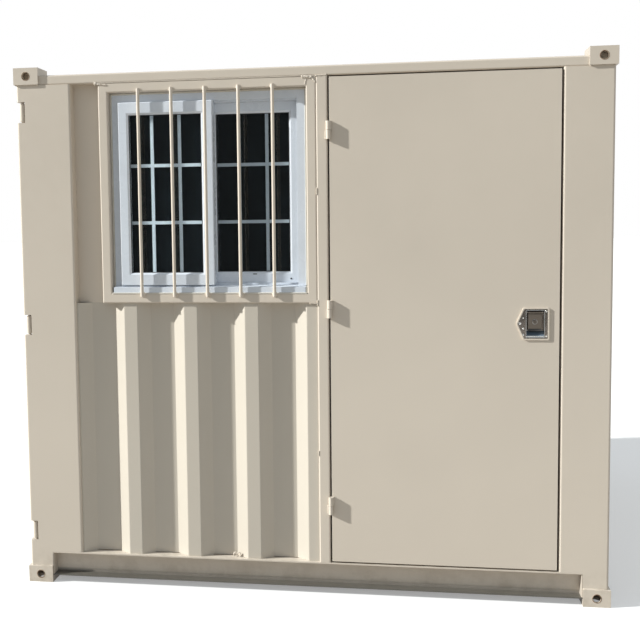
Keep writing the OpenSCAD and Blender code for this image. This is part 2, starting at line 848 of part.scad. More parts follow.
// Folded channels mitred at the corners, with the packing that the window is fixed to
module window_steel_frame() {
    h = steel_frame_t / 2;
    packing_y = window_inset + edge_r;
    color([0.80, 0.76, 0.70]) place() translate([frame_x, steel_y, steel_frame_z]) {
        mitred_frame(steel_frame_w, steel_h, steel_frame_face, steel_frame_d)
            folded_sheet([
                [h, steel_frame_d], [h, h],
                [steel_frame_face - h, h], [steel_frame_face - h, steel_frame_d]
            ], steel_frame_t, edge_r - h);
        translate([steel_frame_face, packing_y, steel_frame_face]) difference() {
            cube([opening_w, steel_frame_d - packing_y, opening_h]);
            translate([window_packing, -past, -past])
                cube([window_w, steel_frame_d, window_h + past]);
        }
    }
}

// Round bars that stand a little in front of the steel frame, on a pad at each end
module security_bars() {
    color([0.84, 0.80, 0.72]) place()
        for (i = [0:bar_count - 1])
            translate([opening_x + bar_edge + i * bar_pitch, steel_y - bar_out, window_z - bar_lap]) {
                cylinder(d = bar_d, h = bar_len);
                for (z = [bar_pad_d / 2, bar_len - bar_pad_d / 2])
                    translate([0, 0, z]) rotate([-90, 0, 0]) cylinder(d = bar_pad_d, h = bar_out);
            }
}

// Fixed frame with a sill that falls outwards and a track between the sashes, top and bottom
module window_outer_frame() {
    sill_top = window_face - sill_gap;
    track_y = sash_d - sash_out + track_gap;
    track_d = sash_gap - 2 * track_gap;
    color([0.90, 0.91, 0.92]) place() translate([window_x, window_y, window_z]) {
        flat_frame(window_w, window_h, window_face, window_face, window_d);
        rotate([90, 0, 90]) linear_extrude(window_w)
            polygon([
                [sill_gap, 0], [-sill_out, 0], [-sill_out, sill_top - sill_fall],
                [-sash_bevel, sill_top], [sill_gap, sill_top]
            ]);
        for (z = [0, window_h - window_face - track_h])
            translate([window_face / 2, track_y, z])
                cube([window_w - window_face, track_d, window_face + track_h]);
    }
}

// Block with its four front edges bevelled
module bevelled_block(w, d, h, c) {
    intersection() {
        linear_extrude(h) polygon([[0, d], [0, c], [c, 0], [w - c, 0], [w, c], [w, d]]);
        rotate([90, 0, 90]) linear_extrude(w)
            polygon([[d, 0], [c, 0], [0, c], [0, h - c], [c, h], [d, h]]);
    }
}

// Cutting shape for an opening w by h at its face that narrows by side over the depth d
module flared_opening(w, h, side, d) {
    out = side * past / d;
    intersection() {
        translate([0, 0, -out]) linear_extrude(h + 2 * out)
            polygon([[-out, -past], [w + out, -past], [w - side, d], [side, d]]);
        translate([-out, 0, 0]) rotate([90, 0, 90]) linear_extrude(w + 2 * out)
            polygon([[-past, -out], [-past, h + out], [d, h - side], [d, side]]);
    }
}

// Sash with its outer stile at the left, stile_w wide, and sloped beads round the glass
module sash(stile_w) {
    difference() {
        bevelled_block(stile_w + pane_w + meeting_w, sash_d, sash_h, sash_bevel);
        translate([stile_w, -past, sash_rail_h]) cube([pane_w, sash_d + 2 * past, pane_h]);
        translate([stile_w - bead_w, 0, sash_rail_h - bead_w])
            flared_opening(pane_w + 2 * bead_w, pane_h + 2 * bead_w, bead_w, bead_step);
    }
}

module at_left_sash() {
    translate([left_sash_x, left_sash_y, sash_z]) children();
}

module at_right_sash() {
    translate([right_sash_x + right_sash_w, right_sash_y, sash_z]) mirror([1, 0, 0]) children();
}

// The front sash carries the strip that closes the gap between the meeting stiles
module left_sash() {
    strip_z = track_h + track_gap;
    color([0.92, 0.93, 0.94]) place() at_left_sash() {
        sash(front_stile_w);
        translate([left_sash_w - hook_t, sash_d / 2, strip_z])
            cube([hook_t, sash_d / 2 + sash_gap - hook_gap, sash_h - 2 * strip_z]);
    }
}

module right_sash() {
    color([0.92, 0.93, 0.94]) place() at_right_sash() sash(rear_stile_w);
}

// Sealed glazing unit of two sheets
module glazing_unit(stile_w) {
    translate([stile_w, unit_in, sash_rail_h]) {
        cube([pane_w, pane_t, pane_h]);
        translate([0, pane_t + pane_gap, 0]) cube([pane_w, pane_t, pane_h]);
    }
}

module window_glass() {
    color([0.10, 0.12, 0.14, 0.6]) place() {
        at_left_sash() glazing_unit(front_stile_w);
        at_right_sash() glazing_unit(rear_stile_w);
    }
}

// Crossed glazing bars between the two sheets
module glazing_grid(stile_w) {
    y = unit_in + pane_t + (pane_gap - grid_t) / 2;
    for (s = [-1, 1]) {
        translate([stile_w + pane_w / 2 + s * grid_pitch_x / 2 - grid_w / 2, y, sash_rail_h])
            cube([grid_w, grid_t, pane_h]);
        translate([stile_w, y, sash_rail_h + pane_h / 2 + s * grid_pitch_z / 2 - grid_w / 2])
            cube([pane_w, grid_t, grid_w]);
    }
}

module glazing_bars() {
    color([0.85, 0.87, 0.89]) place() {
        at_left_sash() glazing_grid(front_stile_w);
        at_right_sash() glazing_grid(rear_stile_w);
    }
}

// Crescent catch on the meeting stile of the rear sash
module window_catch() {
    depth = sash_gap + sash_d / 2;
    color([0.85, 0.87, 0.89]) place()
        translate([right_sash_x - catch_w, left_sash_y + sash_d, sash_z + sash_h / 2])
            intersection() {
                translate([0, 0, -catch_h / 2]) cube([catch_w, depth, catch_h]);
                translate([catch_w, depth, 0]) rotate([90, 0, 0])
                    cylinder(r = catch_h / 2, h = depth);
            }
}

// Upright between the window and the door, a folded channel that opens inwards
module door_jamb() {
    h = jamb_t / 2;
    color([0.80, 0.76, 0.70]) place() translate([jamb_x, face_y, rail_top])
        linear_extrude(top_rail_z - rail_top) folded_sheet([
            [h, post_flange], [h, h], [jamb_w - h, h], [jamb_w - h, post_flange]
        ], jamb_t, edge_r - h);
}

module door_stop() {
    x0 = jamb_x + jamb_w;
    color([0.78, 0.74, 0.68]) place() translate([x0, stop_y, rail_top])
        flat_frame(right_edge - x0, top_rail_z - rail_top, stop_w, stop_w, stop_t);
}

module door_seal() {
    x0 = jamb_x + jamb_w + stop_w - seal_w;
    z0 = rail_top + stop_w - seal_w;
    color([0.08, 0.08, 0.08]) place() translate([x0, stop_y - seal_t, z0])
        flat_frame(right_edge - (stop_w - seal_w) - x0, top_rail_z - (stop_w - seal_w) - z0,
            seal_w, seal_w, seal_t);
}

// Skin of the door leaf, folded back along its four edges and cut for the latch
module door_skin() {
    color([0.79, 0.75, 0.68]) place() difference() {
        translate([door_x, face_y, door_z]) difference() {
            cube([door_w, skin_edge, door_h]);
            translate([skin_t, skin_t, skin_t])
                cube([door_w - 2 * skin_t, skin_edge, door_h - 2 * skin_t]);
        }
        translate([latch_left + cup_x - cup_t, face_y - past, latch_z - cup_h / 2 - cup_t])
            cube([cup_w + 2 * cup_t, skin_t + 2 * past, cup_h + 2 * cup_t]);
    }
}

module door_inner_frame() {
    w = door_w - 2 * door_frame_in;
    h = door_h - 2 * door_frame_in;
    inner_w = w - 2 * door_frame_face;
    color([0.78, 0.74, 0.68]) place()
        translate([door_x + door_frame_in, face_y + skin_t, door_z + door_frame_in]) {
            channel_frame(w, h, door_frame_face, door_frame_d, door_frame_t);
            for (k = [1, 2]) translate([door_frame_face, 0, k * h / 3 - door_frame_face / 2])
                difference() {
                    cube([inner_w, door_frame_d, door_frame_face]);
                    translate([-past, door_frame_t, door_frame_t])
                        cube([inner_w + 2 * past, door_frame_d, door_frame_face - 2 * door_frame_t]);
                }
        }
}

module door_lining() {
    color([0.79, 0.75, 0.68]) place()
        translate([door_x + door_frame_in, face_y + skin_t + door_frame_d, door_z + door_frame_in])
            cube([door_w - 2 * door_frame_in, lining_t, door_h - 2 * door_frame_in]);
}

// Half of a hinge: a barrel with the foot that is welded to the plate beside it
module knuckle(side, bore) {
    difference() {
        union() {
            cylinder(d = hinge_d, h = knuckle_h);
            translate([side > 0 ? door_gap / 2 : -door_gap / 2 - foot_w, 0, 0])
                cube([foot_w, hinge_out, knuckle_h]);
        }
        translate([0, 0, -past]) cylinder(d = bore, h = knuckle_h + 2 * past);
    }
}

module fixed_hinge_knuckles() {
    color([0.82, 0.78, 0.71]) place()
        for (z = hinge_z) translate([hinge_x, hinge_y, z - hinge_h / 2]) {
            knuckle(-1, pin_d / 2);
            cylinder(d = pin_d, h = hinge_h - knuckle_gap);
        }
}

module door_hinge_knuckles() {
    color([0.82, 0.78, 0.71]) place()
        for (z = hinge_z) translate([hinge_x, hinge_y, z + knuckle_gap / 2])
            knuckle(1, pin_d + 2 * pin_clear);
}

module at_latch() {
    place() translate([latch_left, face_y, latch_z]) children();
}

// Pointed plate with a recess that slopes out at its lower end, and the pin of the paddle
module latch_plate() {
    half = latch_h / 2;
    slope_top = cup_slope_h - cup_h / 2;
    profile = [[0, cup_h / 2], [cup_d, cup_h / 2], [cup_d, slope_top], [0, -cup_h / 2]];
    color([0.62, 0.62, 0.60]) at_latch() {
        difference() {
            union() {
                rotate([90, 0, 0]) linear_extrude(latch_t)
                    rounded_outline([
                        [0, 0], [latch_tip, -half], [latch_w, -half],
                        [latch_w, half], [latch_tip, half]
                    ], [latch_tip_r, latch_tip_r, latch_corner_r, latch_corner_r, latch_tip_r]);
                translate([cup_x - cup_t, 0, 0]) rotate([90, 0, 90])
                    linear_extrude(cup_w + 2 * cup_t) polygon([
                        [0, cup_h / 2 + cup_t], [cup_d + cup_t, cup_h / 2 + cup_t],
                        [cup_d + cup_t, slope_top - cup_t], [0, -cup_h / 2 - cup_t]
                    ]);
            }
            translate([cup_x, 0, 0]) rotate([90, 0, 90]) linear_extrude(cup_w)
                polygon(concat([[-latch_t - past, cup_h / 2]], [for (i = [1:3]) profile[i]],
                    [[-latch_t - past, -cup_h / 2]]));
        }
        translate([cup_x, paddle_pin_y, paddle_pin_z]) rotate([0, 90, 0])
            cylinder(d = paddle_pin_d, h = cup_w);
    }
}

// Pull plate that hangs from the pin, with its lower lip turned out for the fingers
module latch_paddle() {
    color([0.55, 0.55, 0.54]) at_latch()
        translate([paddle_x, paddle_pin_y, paddle_pin_z]) rotate([90, 0, 90]) difference() {
            union() {
                cylinder(d = knuckle_d, h = paddle_w);
                linear_extrude(paddle_w) folded_sheet([
                    [0, 0], [0, -knuckle_d], [paddle_lean, lip_w - paddle_l],
                    [paddle_lean - lip_w, -paddle_l]
                ], paddle_t, lip_r);
            }
            translate([0, 0, -past]) cylinder(d = paddle_pin_d + 2 * pin_clear, h = paddle_w + 2 * past);
        }
}

module lock_barrel() {
    color([0.70, 0.70, 0.68]) at_latch()
        translate([paddle_x + paddle_w / 2, paddle_pin_y + paddle_lean / 2, paddle_pin_z - lock_drop])
            rotate([90 + lean_angle, 0, 0]) translate([0, 0, paddle_t / 2 + lock_seat])
                cylinder(d = lock_d, h = lock_l);
}

// Cargo door leaf: a channel frame round a sheet with level pressings
module cargo_leaf() {
    sheet_w = cargo_leaf_w - 2 * cargo_face;
    span = cargo_h - 2 * cargo_face;
    step = span / press_count;
    front = cargo_frame_t;
    back = front + cargo_press;
    path = concat(
        [[back, cargo_face]],
        [for (k = [0:press_count - 1], p = [
            [back, -press_h / 2 - press_slope], [front, -press_h / 2],
            [front, press_h / 2], [back, press_h / 2 + press_slope]
        ]) [p[0], cargo_face + (k + 0.5) * step + p[1]]],
        [[back, cargo_face + span]]
    );
    translate([0, cargo_leaf_w, 0]) rotate([0, 0, -90])
        channel_frame(cargo_leaf_w, cargo_h, cargo_face, cargo_frame_d, cargo_frame_t);
    translate([0, cargo_face + sheet_w, 0]) rotate([90, 0, 0])
        linear_extrude(sheet_w) folded_sheet(path, sheet_t, corr_r);
}

module cargo_door_front_leaf() {
    color([0.80, 0.76, 0.70]) place() translate([cargo_inset, cargo_y0, cargo_z]) cargo_leaf();
}

module cargo_door_back_leaf() {
    color([0.80, 0.76, 0.70]) place() to_back()
        translate([cargo_inset, cargo_y0, cargo_z]) cargo_leaf();
}

// Rubber that fills the gap round and between the two cargo door leaves
module cargo_door_gaskets() {
    y0 = cargo_y0 - cargo_gap;
    color([0.08, 0.08, 0.08]) place()
        translate([cargo_inset + (cargo_frame_d - gasket_w) / 2, 0, 0]) {
            difference() {
                translate([0, y0, rail_top])
                    cube([gasket_w, body_d - 2 * y0, cargo_h + 2 * cargo_gap]);
                translate([-past, cargo_y0, cargo_z])
                    cube([gasket_w + 2 * past, body_d - 2 * cargo_y0, cargo_h]);
            }
            translate([0, (body_d - cargo_gap) / 2, cargo_z - eps])
                cube([gasket_w, cargo_gap, cargo_h + 2 * eps]);
        }
}

// Barrel, crank and blade of one cargo door hinge, measured from its pin
module cargo_hinge() {
    h = notch_h - 2 * cargo_hinge_play;
    reach = cargo_y0 - cargo_pin_y;
    outer = -cargo_barrel_d / 2;
    on_door = cargo_inset - cargo_pin_x;
    translate([0, 0, -h / 2]) difference() {
        union() {
            cylinder(d = cargo_barrel_d, h = h);
            translate([outer, 0, 0]) cube([blade_t, reach + blade_t, h]);
            translate([outer, reach, 0]) cube([on_door - outer, blade_t, h]);
            translate([on_door - blade_t, reach, 0]) cube([blade_t, blade_l, h]);
        }
        translate([0, 0, -past]) cylinder(d = cargo_pin_d + 2 * rod_play, h = h + 2 * past);
    }
}

module at_cargo_hinges() {
    for (z = cargo_hinge_z) {
        translate([cargo_pin_x, cargo_pin_y, z]) children();
        to_back() translate([cargo_pin_x, cargo_pin_y, z]) children();
    }
}

module cargo_hinges() {
    color([0.80, 0.76, 0.70]) place() at_cargo_hinges() cargo_hinge();
}

// Pin of a cargo hinge with the two lugs inside the boxed post edge
module cargo_hinge_pin() {
    inner = post_inset + post_t - cargo_pin_x;
    lug_y = face_y + fold_r - cargo_pin_y;
    cylinder(d = cargo_pin_d, h = notch_h + 2 * lug_t, center = true);
    for (s = [-1, 1])
        translate([inner, lug_y, s * (notch_h + lug_t) / 2 - lug_t / 2])
            cube([notch_w, post_box_d - 2 * fold_r, lug_t]);
}

module cargo_hinge_pins() {
    color([0.70, 0.67, 0.62]) place() at_cargo_hinges() cargo_hinge_pin();
}

module at_rods() {
    translate([rod_x, body_d / 2 - rod_y, 0]) children();
    to_back() translate([rod_x, body_d / 2 - rod_y, 0]) children();
}

module locking_rods() {
    z0 = rail_top - rod_over;
    color([0.80, 0.76, 0.70]) place() at_rods()
        translate([0, 0, z0]) cylinder(d = rod_d, h = top_rail_z + rod_over - z0);
}

// Block that holds a rod and reaches back to the face behind it
module rod_bracket(h, reach) {
    front = rod_d / 2 + rod_gap;
    difference() {
        translate([-front, -bracket_w / 2, 0]) cube([front + reach, bracket_w, h]);
        translate([0, 0, -past]) cylinder(d = rod_d + 2 * rod_play, h = h + 2 * past);
    }
}

module rod_brackets() {
    on_door = cargo_inset - rod_x;
    on_rail = cargo_rail_x - rod_x;
    color([0.80, 0.76, 0.70]) place() at_rods() {
        for (z = [cargo_z + bracket_in, cargo_z + cargo_h / 2, cargo_z + cargo_h - bracket_in])
            translate([0, 0, z - bracket_h / 2]) rod_bracket(bracket_h, on_door);
        for (z = [rail_top - rod_over, top_rail_z + rod_over - keeper_h])
            translate([0, 0, z]) rod_bracket(keeper_h, on_rail);
    }
}

module rod_handles() {
    color([0.80, 0.76, 0.70]) place() at_rods()
        translate([-rod_d / 2 - handle_t, -cargo_handle_l / 2, cargo_handle_z])
            cube([handle_t, cargo_handle_l, handle_h]);
}

bottom_corner_blocks();
top_corner_blocks();
front_left_post();
front_right_post();
back_left_post();
back_right_post();
front_top_rail();
back_top_rail();
right_top_rail();
cargo_header();
front_bottom_rail();
back_bottom_rail();
right_bottom_rail();
cargo_sill();
floor_boards();
floor_cross_members();
roof_panel();
front_panel_lower();
front_panel_side();
back_wall_panel();
right_wall_panel();
window_steel_frame();
security_bars();
window_outer_frame();
left_sash();
right_sash();
window_glass();
glazing_bars();
window_catch();
door_jamb();
door_stop();
door_seal();
door_skin();
door_inner_frame();
door_lining();
fixed_hinge_knuckles();
door_hinge_knuckles();
latch_plate();
latch_paddle();
lock_barrel();
cargo_door_front_leaf();
cargo_door_back_leaf();
cargo_door_gaskets();
cargo_hinges();
cargo_hinge_pins();
locking_rods();
rod_brackets();
rod_handles();
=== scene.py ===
# %% [markdown]
# A small steel storage container, dressed for the camera.
#
# The model of the container is already made at its real size: corner blocks, posts, rails,
# corrugated walls, a side door, a barred sliding window. This lesson gives each surface its
# finish, adds the small things that a workshop leaves on such a box, such as weld beads,
# rivets and rubber lines, and lights it as in the photograph. All lengths are in metres.

# %% Load the fixed model
import json
import math
import bpy
from mathutils import Matrix, Vector


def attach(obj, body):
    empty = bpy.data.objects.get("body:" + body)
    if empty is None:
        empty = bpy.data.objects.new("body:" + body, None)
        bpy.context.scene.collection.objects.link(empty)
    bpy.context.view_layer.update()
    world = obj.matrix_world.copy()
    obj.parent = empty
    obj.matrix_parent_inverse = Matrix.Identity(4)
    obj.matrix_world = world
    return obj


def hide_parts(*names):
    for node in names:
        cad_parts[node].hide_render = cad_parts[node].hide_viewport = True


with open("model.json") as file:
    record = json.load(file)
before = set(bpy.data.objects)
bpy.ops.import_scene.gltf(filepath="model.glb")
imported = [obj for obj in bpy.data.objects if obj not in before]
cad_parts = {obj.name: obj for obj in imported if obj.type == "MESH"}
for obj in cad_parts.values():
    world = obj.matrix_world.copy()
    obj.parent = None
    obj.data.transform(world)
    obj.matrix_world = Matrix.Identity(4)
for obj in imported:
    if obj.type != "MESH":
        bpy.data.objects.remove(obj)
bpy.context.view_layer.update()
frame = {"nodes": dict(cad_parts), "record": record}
nodes = frame["nodes"]

# %% [markdown]
# The photograph was taken from about eye height, four metres in front of the long wall and a
# little right of its middle, with the camera turned slightly to the left and down. The lens
# could be found by trial, but the four outer corners of the wall fix it: their places in the
# picture give the distance, the turn and the focal length at once. The picture was cropped
# afterwards, so its middle isn't the middle of the lens, and a small shift stands for that.

# %% Camera
PICTURE = 640
wall_left = -1.245      # left end of the container
wall_y = -1.0935        # fronts of its corner blocks
focal_px = 920.5
lens_centre_px = (263.8, 287.3)
EYE_RIGHT, EYE_AWAY, EYE_HEIGHT = 1.639, 3.811, 1.603
eye = Vector((wall_left + EYE_RIGHT, wall_y - EYE_AWAY, EYE_HEIGHT))
yaw, pitch, roll = (math.radians(a) for a in (8.40, -4.27, 0.75))

camera_data = bpy.data.cameras.new("photo_camera")
camera = bpy.data.objects.new("photo_camera", camera_data)
bpy.context.scene.collection.objects.link(camera)
camera_data.sensor_width = 36
camera_data.lens = focal_px / PICTURE * camera_data.sensor_width
camera_data.shift_x = (PICTURE / 2 - lens_centre_px[0]) / PICTURE
camera_data.shift_y = (lens_centre_px[1] - PICTURE / 2) / PICTURE
turn = Matrix.Rotation(yaw, 4, "Z") @ Matrix.Rotation(math.pi / 2 + pitch, 4, "X")
camera.matrix_world = Matrix.Translation(eye) @ turn @ Matrix.Rotation(-roll, 4, "Z")
bpy.context.scene.camera = camera
bpy.context.scene.view_settings.view_transform = "Standard"
print("lens mm:", round(camera_data.lens, 2), "shift:", round(camera_data.shift_x, 3),
      round(camera_data.shift_y, 3))

# %% [markdown]
# Outdoors the sun came from the upper left and just grazed the wall, so that a hinge barrel
# of 20 mm throws a shadow of 90 mm. In the studio one distant lamp with a small angle does
# the same, and the rest of the light comes evenly from all round. The two are balanced so
# that a painted surface facing the camera shows about the colour that is written in its
# material, and the sloped faces that look at the lamp stay below white.

# %% Light
LAMP_COLOUR = (0.905, 0.915, 0.88)
LAMP_STRENGTH = 6.1
LAMP_SOFTNESS = math.radians(1.2)
lamp_path = Vector((4.35, 1.1, -2.2))
FILL_COLOUR = (0.85, 0.94, 1.0, 1)
FILL_STRENGTH = 0.465

lamp_data = bpy.data.lights.new("low_key_lamp", "SUN")
lamp_data.energy = LAMP_STRENGTH
lamp_data.color = LAMP_COLOUR
lamp_data.angle = LAMP_SOFTNESS
lamp = bpy.data.objects.new("low_key_lamp", lamp_data)
lamp.rotation_euler = lamp_path.to_track_quat("-Z", "Y").to_euler()
bpy.context.scene.collection.objects.link(lamp)

studio = bpy.data.worlds.new("studio")
studio.use_nodes = True
bpy.context.scene.world = studio


def seen_directly(tree):
    """Socket that is 1 where a surface is looked at, also in a mirror or through glass."""
    path = tree.nodes.new("ShaderNodeLightPath")
    total = path.outputs["Is Camera Ray"]
    for name in ("Is Glossy Ray", "Is Transmission Ray"):
        larger = tree.nodes.new("ShaderNodeMath")
        larger.operation = "MAXIMUM"
        tree.links.new(total, larger.inputs[0])
        tree.links.new(path.outputs[name], larger.inputs[1])
        total = larger.outputs[0]
    return total


sky = studio.node_tree
fill = sky.nodes["Background"]
fill.inputs["Color"].default_value = FILL_COLOUR
fill.inputs["Strength"].default_value = FILL_STRENGTH
white = sky.nodes.new("ShaderNodeBackground")
white.inputs["Color"].default_value = (1, 1, 1, 1)
either = sky.nodes.new("ShaderNodeMixShader")
sky.links.new(seen_directly(sky), either.inputs[0])
sky.links.new(fill.outputs[0], either.inputs[1])
sky.links.new(white.outputs[0], either.inputs[2])
sky.links.new(either.outputs[0], sky.nodes["World Output"].inputs["Surface"])
print("lamp:", LAMP_STRENGTH, "fill:", FILL_STRENGTH)

# %% [markdown]
# Window glass and polished steel show what stands in front of them. In a white studio the
# panes would turn milky, while outdoors they mirror dim surroundings and look nearly black. A
# photographer puts up a flag: a dark board behind the camera. Here only mirrored rays see it,
# also those that a dark inner pane sends back out through the clear one. Its cloth glows very
# weakly, so that the latch doesn't turn pure black.

# %% Dark board for reflections
FLAG_GLOW = (0.085, 0.095, 0.100, 1)
FLAG_MIDDLE = (-0.6, -9.0, 4.4)
FLAG_WIDTH, FLAG_HEIGHT = 16, 9.4

bpy.ops.object.select_all(action="DESELECT")
bpy.ops.mesh.primitive_grid_add(x_subdivisions=12, y_subdivisions=6, size=1,
                                location=FLAG_MIDDLE, rotation=(math.pi / 2, 0, 0))
flag = bpy.context.object
flag.name = "dark_board"
flag.scale = (FLAG_WIDTH, FLAG_HEIGHT, 1)
bpy.ops.object.transform_apply(location=True, rotation=True, scale=True)
flag_paint = bpy.data.materials.new("dark_board_cloth")
flag_paint.use_nodes = True
flag_shader = flag_paint.node_tree.nodes["Principled BSDF"]
flag_shader.inputs["Base Color"].default_value = (0.01, 0.01, 0.01, 1)
flag_shader.inputs["Roughness"].default_value = 1.0
flag_shader.inputs["Emission Color"].default_value = FLAG_GLOW
flag_shader.inputs["Emission Strength"].default_value = 1.0
flag.data.materials.append(flag_paint)
for ray in ("camera", "diffuse", "volume_scatter", "shadow"):
    setattr(flag, "visible_" + ray, False)
print("dark board:", [round(v, 2) for v in flag.dimensions])

# %% [markdown]
# A material starts from one shader, and small nodes are put in front of its sockets. Two
# helpers keep that short: one makes the material, the other adds a node and joins its inputs,
# which may be plain values or the output of a node before it.

# %% Helpers for materials
def start_material(name, colour, roughness, metallic=0.0):
    material = bpy.data.materials.new(name)
    material.use_nodes = True
    shader = material.node_tree.nodes["Principled BSDF"]
    shader.inputs["Base Color"].default_value = (*colour, 1)
    shader.inputs["Roughness"].default_value = roughness
    shader.inputs["Metallic"].default_value = metallic
    return material, shader


def add_node(material, kind, inputs=None, **settings):
    node = material.node_tree.nodes.new("ShaderNode" + kind)
    for key, value in settings.items():
        setattr(node, key, value)
    for key, value in (inputs or {}).items():
        if isinstance(value, bpy.types.NodeSocket):
            material.node_tree.links.new(value, node.inputs[key])
        else:
            node.inputs[key].default_value = value
    return node


def join(material, socket, target):
    material.node_tree.links.new(socket, target)


def places(material, stretch=(1, 1, 1)):
    """Object coordinates, stretched so that a pattern can run along one axis."""
    where = add_node(material, "TexCoord").outputs["Object"]
    return add_node(material, "Mapping", {"Vector": where, "Scale": stretch}).outputs[0]


def noise(material, where, scale, detail=2.0, rough=0.5):
    made = add_node(material, "TexNoise", {
        "Vector": where, "Scale": scale, "Detail": detail, "Roughness": rough})
    return made.outputs["Fac"]


def looks_along(material, axis):
    """How far a face looks along an axis of its own piece, from -1 to 1."""
    facing = add_node(material, "TexCoord").outputs["Normal"]
    return add_node(material, "SeparateXYZ", {"Vector": facing}).outputs[axis]


def spread(material, value, low, high, to_low=0.0, to_high=1.0):
    """Stretches low to high of a value to to_low to to_high, and clamps it there."""
    made = add_node(material, "MapRange", {
        "Value": value, "From Min": low, "From Max": high, "To Min": to_low, "To Max": to_high})
    return made.outputs["Result"]


def times(material, first, second):
    return add_node(material, "Math", {0: first, 1: second}, operation="MULTIPLY").outputs[0]


def blend_colours(material, share, first, second):
    """Colour that goes from first to second with the share; both may be values or sockets."""
    made = add_node(material, "MixRGB", {"Fac": share, "Color1": first, "Color2": second})
    return made.outputs[0]


def shade(colour, factor=1.0):
    """Colour made brighter or darker by a factor, with the fourth number that sockets want."""
    return tuple(min(1.0, part * factor) for part in colour) + (1,)


def bump(material, height, distance, under=None):
    """Relief of that many metres; under is the output of a relief or bevel below it."""
    inputs = {"Height": height, "Distance": distance, "Strength": 1.0}
    if under is not None:
        inputs["Normal"] = under
    return add_node(material, "Bump", inputs).outputs["Normal"]


# %% [markdown]
# The floor is a wide plain sheet. It has to look nearly white, but light from a white floor
# would flood the object. So the camera sees a pale floor, while the light that it throws back
# on the walls is that of a dull brownish one. The shadow of the container stays visible on it.

# %% Floor
FLOOR_SIZE = 120
FLOOR_COLOUR = (0.72, 0.72, 0.72)
BOUNCE_COLOUR = (0.38, 0.34, 0.29, 1)
FLOOR_GLOW = 0.32
bpy.ops.object.select_all(action="DESELECT")
bpy.ops.mesh.primitive_plane_add(size=FLOOR_SIZE)
floor = bpy.context.object
floor.name = "studio_floor"
floor_paint, floor_shader = start_material("pale_floor", FLOOR_COLOUR, 0.9)
floor_shader.inputs["Emission Color"].default_value = (1, 1, 1, 1)
looked_at = seen_directly(floor_paint.node_tree)
join(floor_paint, blend_colours(floor_paint, looked_at, BOUNCE_COLOUR, (*FLOOR_COLOUR, 1)),
     floor_shader.inputs["Base Color"])
join(floor_paint, times(floor_paint, looked_at, FLOOR_GLOW),
     floor_shader.inputs["Emission Strength"])
floor.data.materials.append(floor_paint)
print("floor:", FLOOR_SIZE, "m wide")

# %% [markdown]
# The container is sprayed with a cream enamel. On the real box it is never quite even: the
# colour drifts by a few percent over a metre, the film has a fine orange peel, thin sheet
# waves a little between its welds, dust lies on level faces and rain splashes the foot of
# the walls. Each of these is a small noise, added to colour, roughness or bump. Two more marks
# are painted shade: faces that look to the left, straight at the lamp, are darkened so that
# they stay below white, and the foot of the rails is darkened. A wear mask drawn by hand would
# look good from one side only, so height and slope steer the dirt and the shade.

# %% Cream enamel
ENAMEL = (0.674, 0.598, 0.512)
# The folded sheet gets a darker copy of the enamel: painted shade, so that its slopes that look at
# the lamp stay below white.
SHADED_FOLD_ENAMEL = (0.588, 0.534, 0.461)
SPLASH_COLOUR = (0.33, 0.26, 0.19)
DUST_COLOUR = (0.42, 0.38, 0.32)
FOOT_SHADE_COLOUR = (0.085, 0.080, 0.070)
SPLASH_TOP, FOOT_SHADE_FADE = 0.16, 0.018
PLATE_WAVES, FOLD_WAVES, SHEET_WAVES = 0.0006, 0.0018, 0.0022


def enamel(name, colour, waviness, shaded_to=0.0, lamp_side_shade=0.32, lamp_side_from=-0.86):
    """Paint of the steel. Painted shade darkens it below the height shaded_to. The share
    lamp_side_shade of painted shade darkens faces that look to the left, at the lamp,
    farther than lamp_side_from, where -1 is straight."""
    material, shader = start_material(name, colour, 0.42)
    where = places(material)
    drift = spread(material, noise(material, where, 1.1, 3), 0.3, 0.7)
    tone = blend_colours(material, drift, shade(colour, 0.965), shade(colour, 1.03))
    height = add_node(material, "SeparateXYZ", {"Vector": places(material)}).outputs["Z"]
    patches = spread(material, noise(material, where, 14, 5, 0.65), 0.42, 0.70)
    splash = times(material, spread(material, height, 0.0, SPLASH_TOP, 0.55, 0.0), patches)
    tone = blend_colours(material, splash, tone, shade(SPLASH_COLOUR))
    level = spread(material, looks_along(material, "Z"), 0.75, 0.98, 0.0, 0.5)
    tone = blend_colours(material, times(material, level, patches), tone, shade(DUST_COLOUR))
    # Painted shade: faces that look to the left, at the lamp, are darkened so that they stay below
    # white.
    if lamp_side_shade:
        lamp_side_darkening = spread(material, looks_along(material, "X"), lamp_side_from - 0.125,
                        lamp_side_from, 1.0, 0.0)
        tone = blend_colours(material, lamp_side_darkening, tone, shade(colour, 1 - lamp_side_shade))
    # Painted shade: below that height the colour goes to near black, for the shade at the foot of
    # the rails.
    if shaded_to:
        foot_shade = spread(material, height, shaded_to - FOOT_SHADE_FADE, shaded_to, 0.95, 0.0)
        tone = blend_colours(material, foot_shade, tone, shade(FOOT_SHADE_COLOUR))
    join(material, tone, shader.inputs["Base Color"])
    gloss = spread(material, noise(material, where, 22, 4), 0.3, 0.7, 0.36, 0.50)
    join(material, gloss, shader.inputs["Roughness"])
    soft_edge = add_node(material, "Bevel", {"Radius": 0.0012}, samples=4).outputs["Normal"]
    waves = bump(material, noise(material, where, 2.6, 1), waviness, soft_edge)
    peel = bump(material, noise(material, where, 420, 2), 0.00012, waves)
    join(material, peel, shader.inputs["Normal"])
    return material


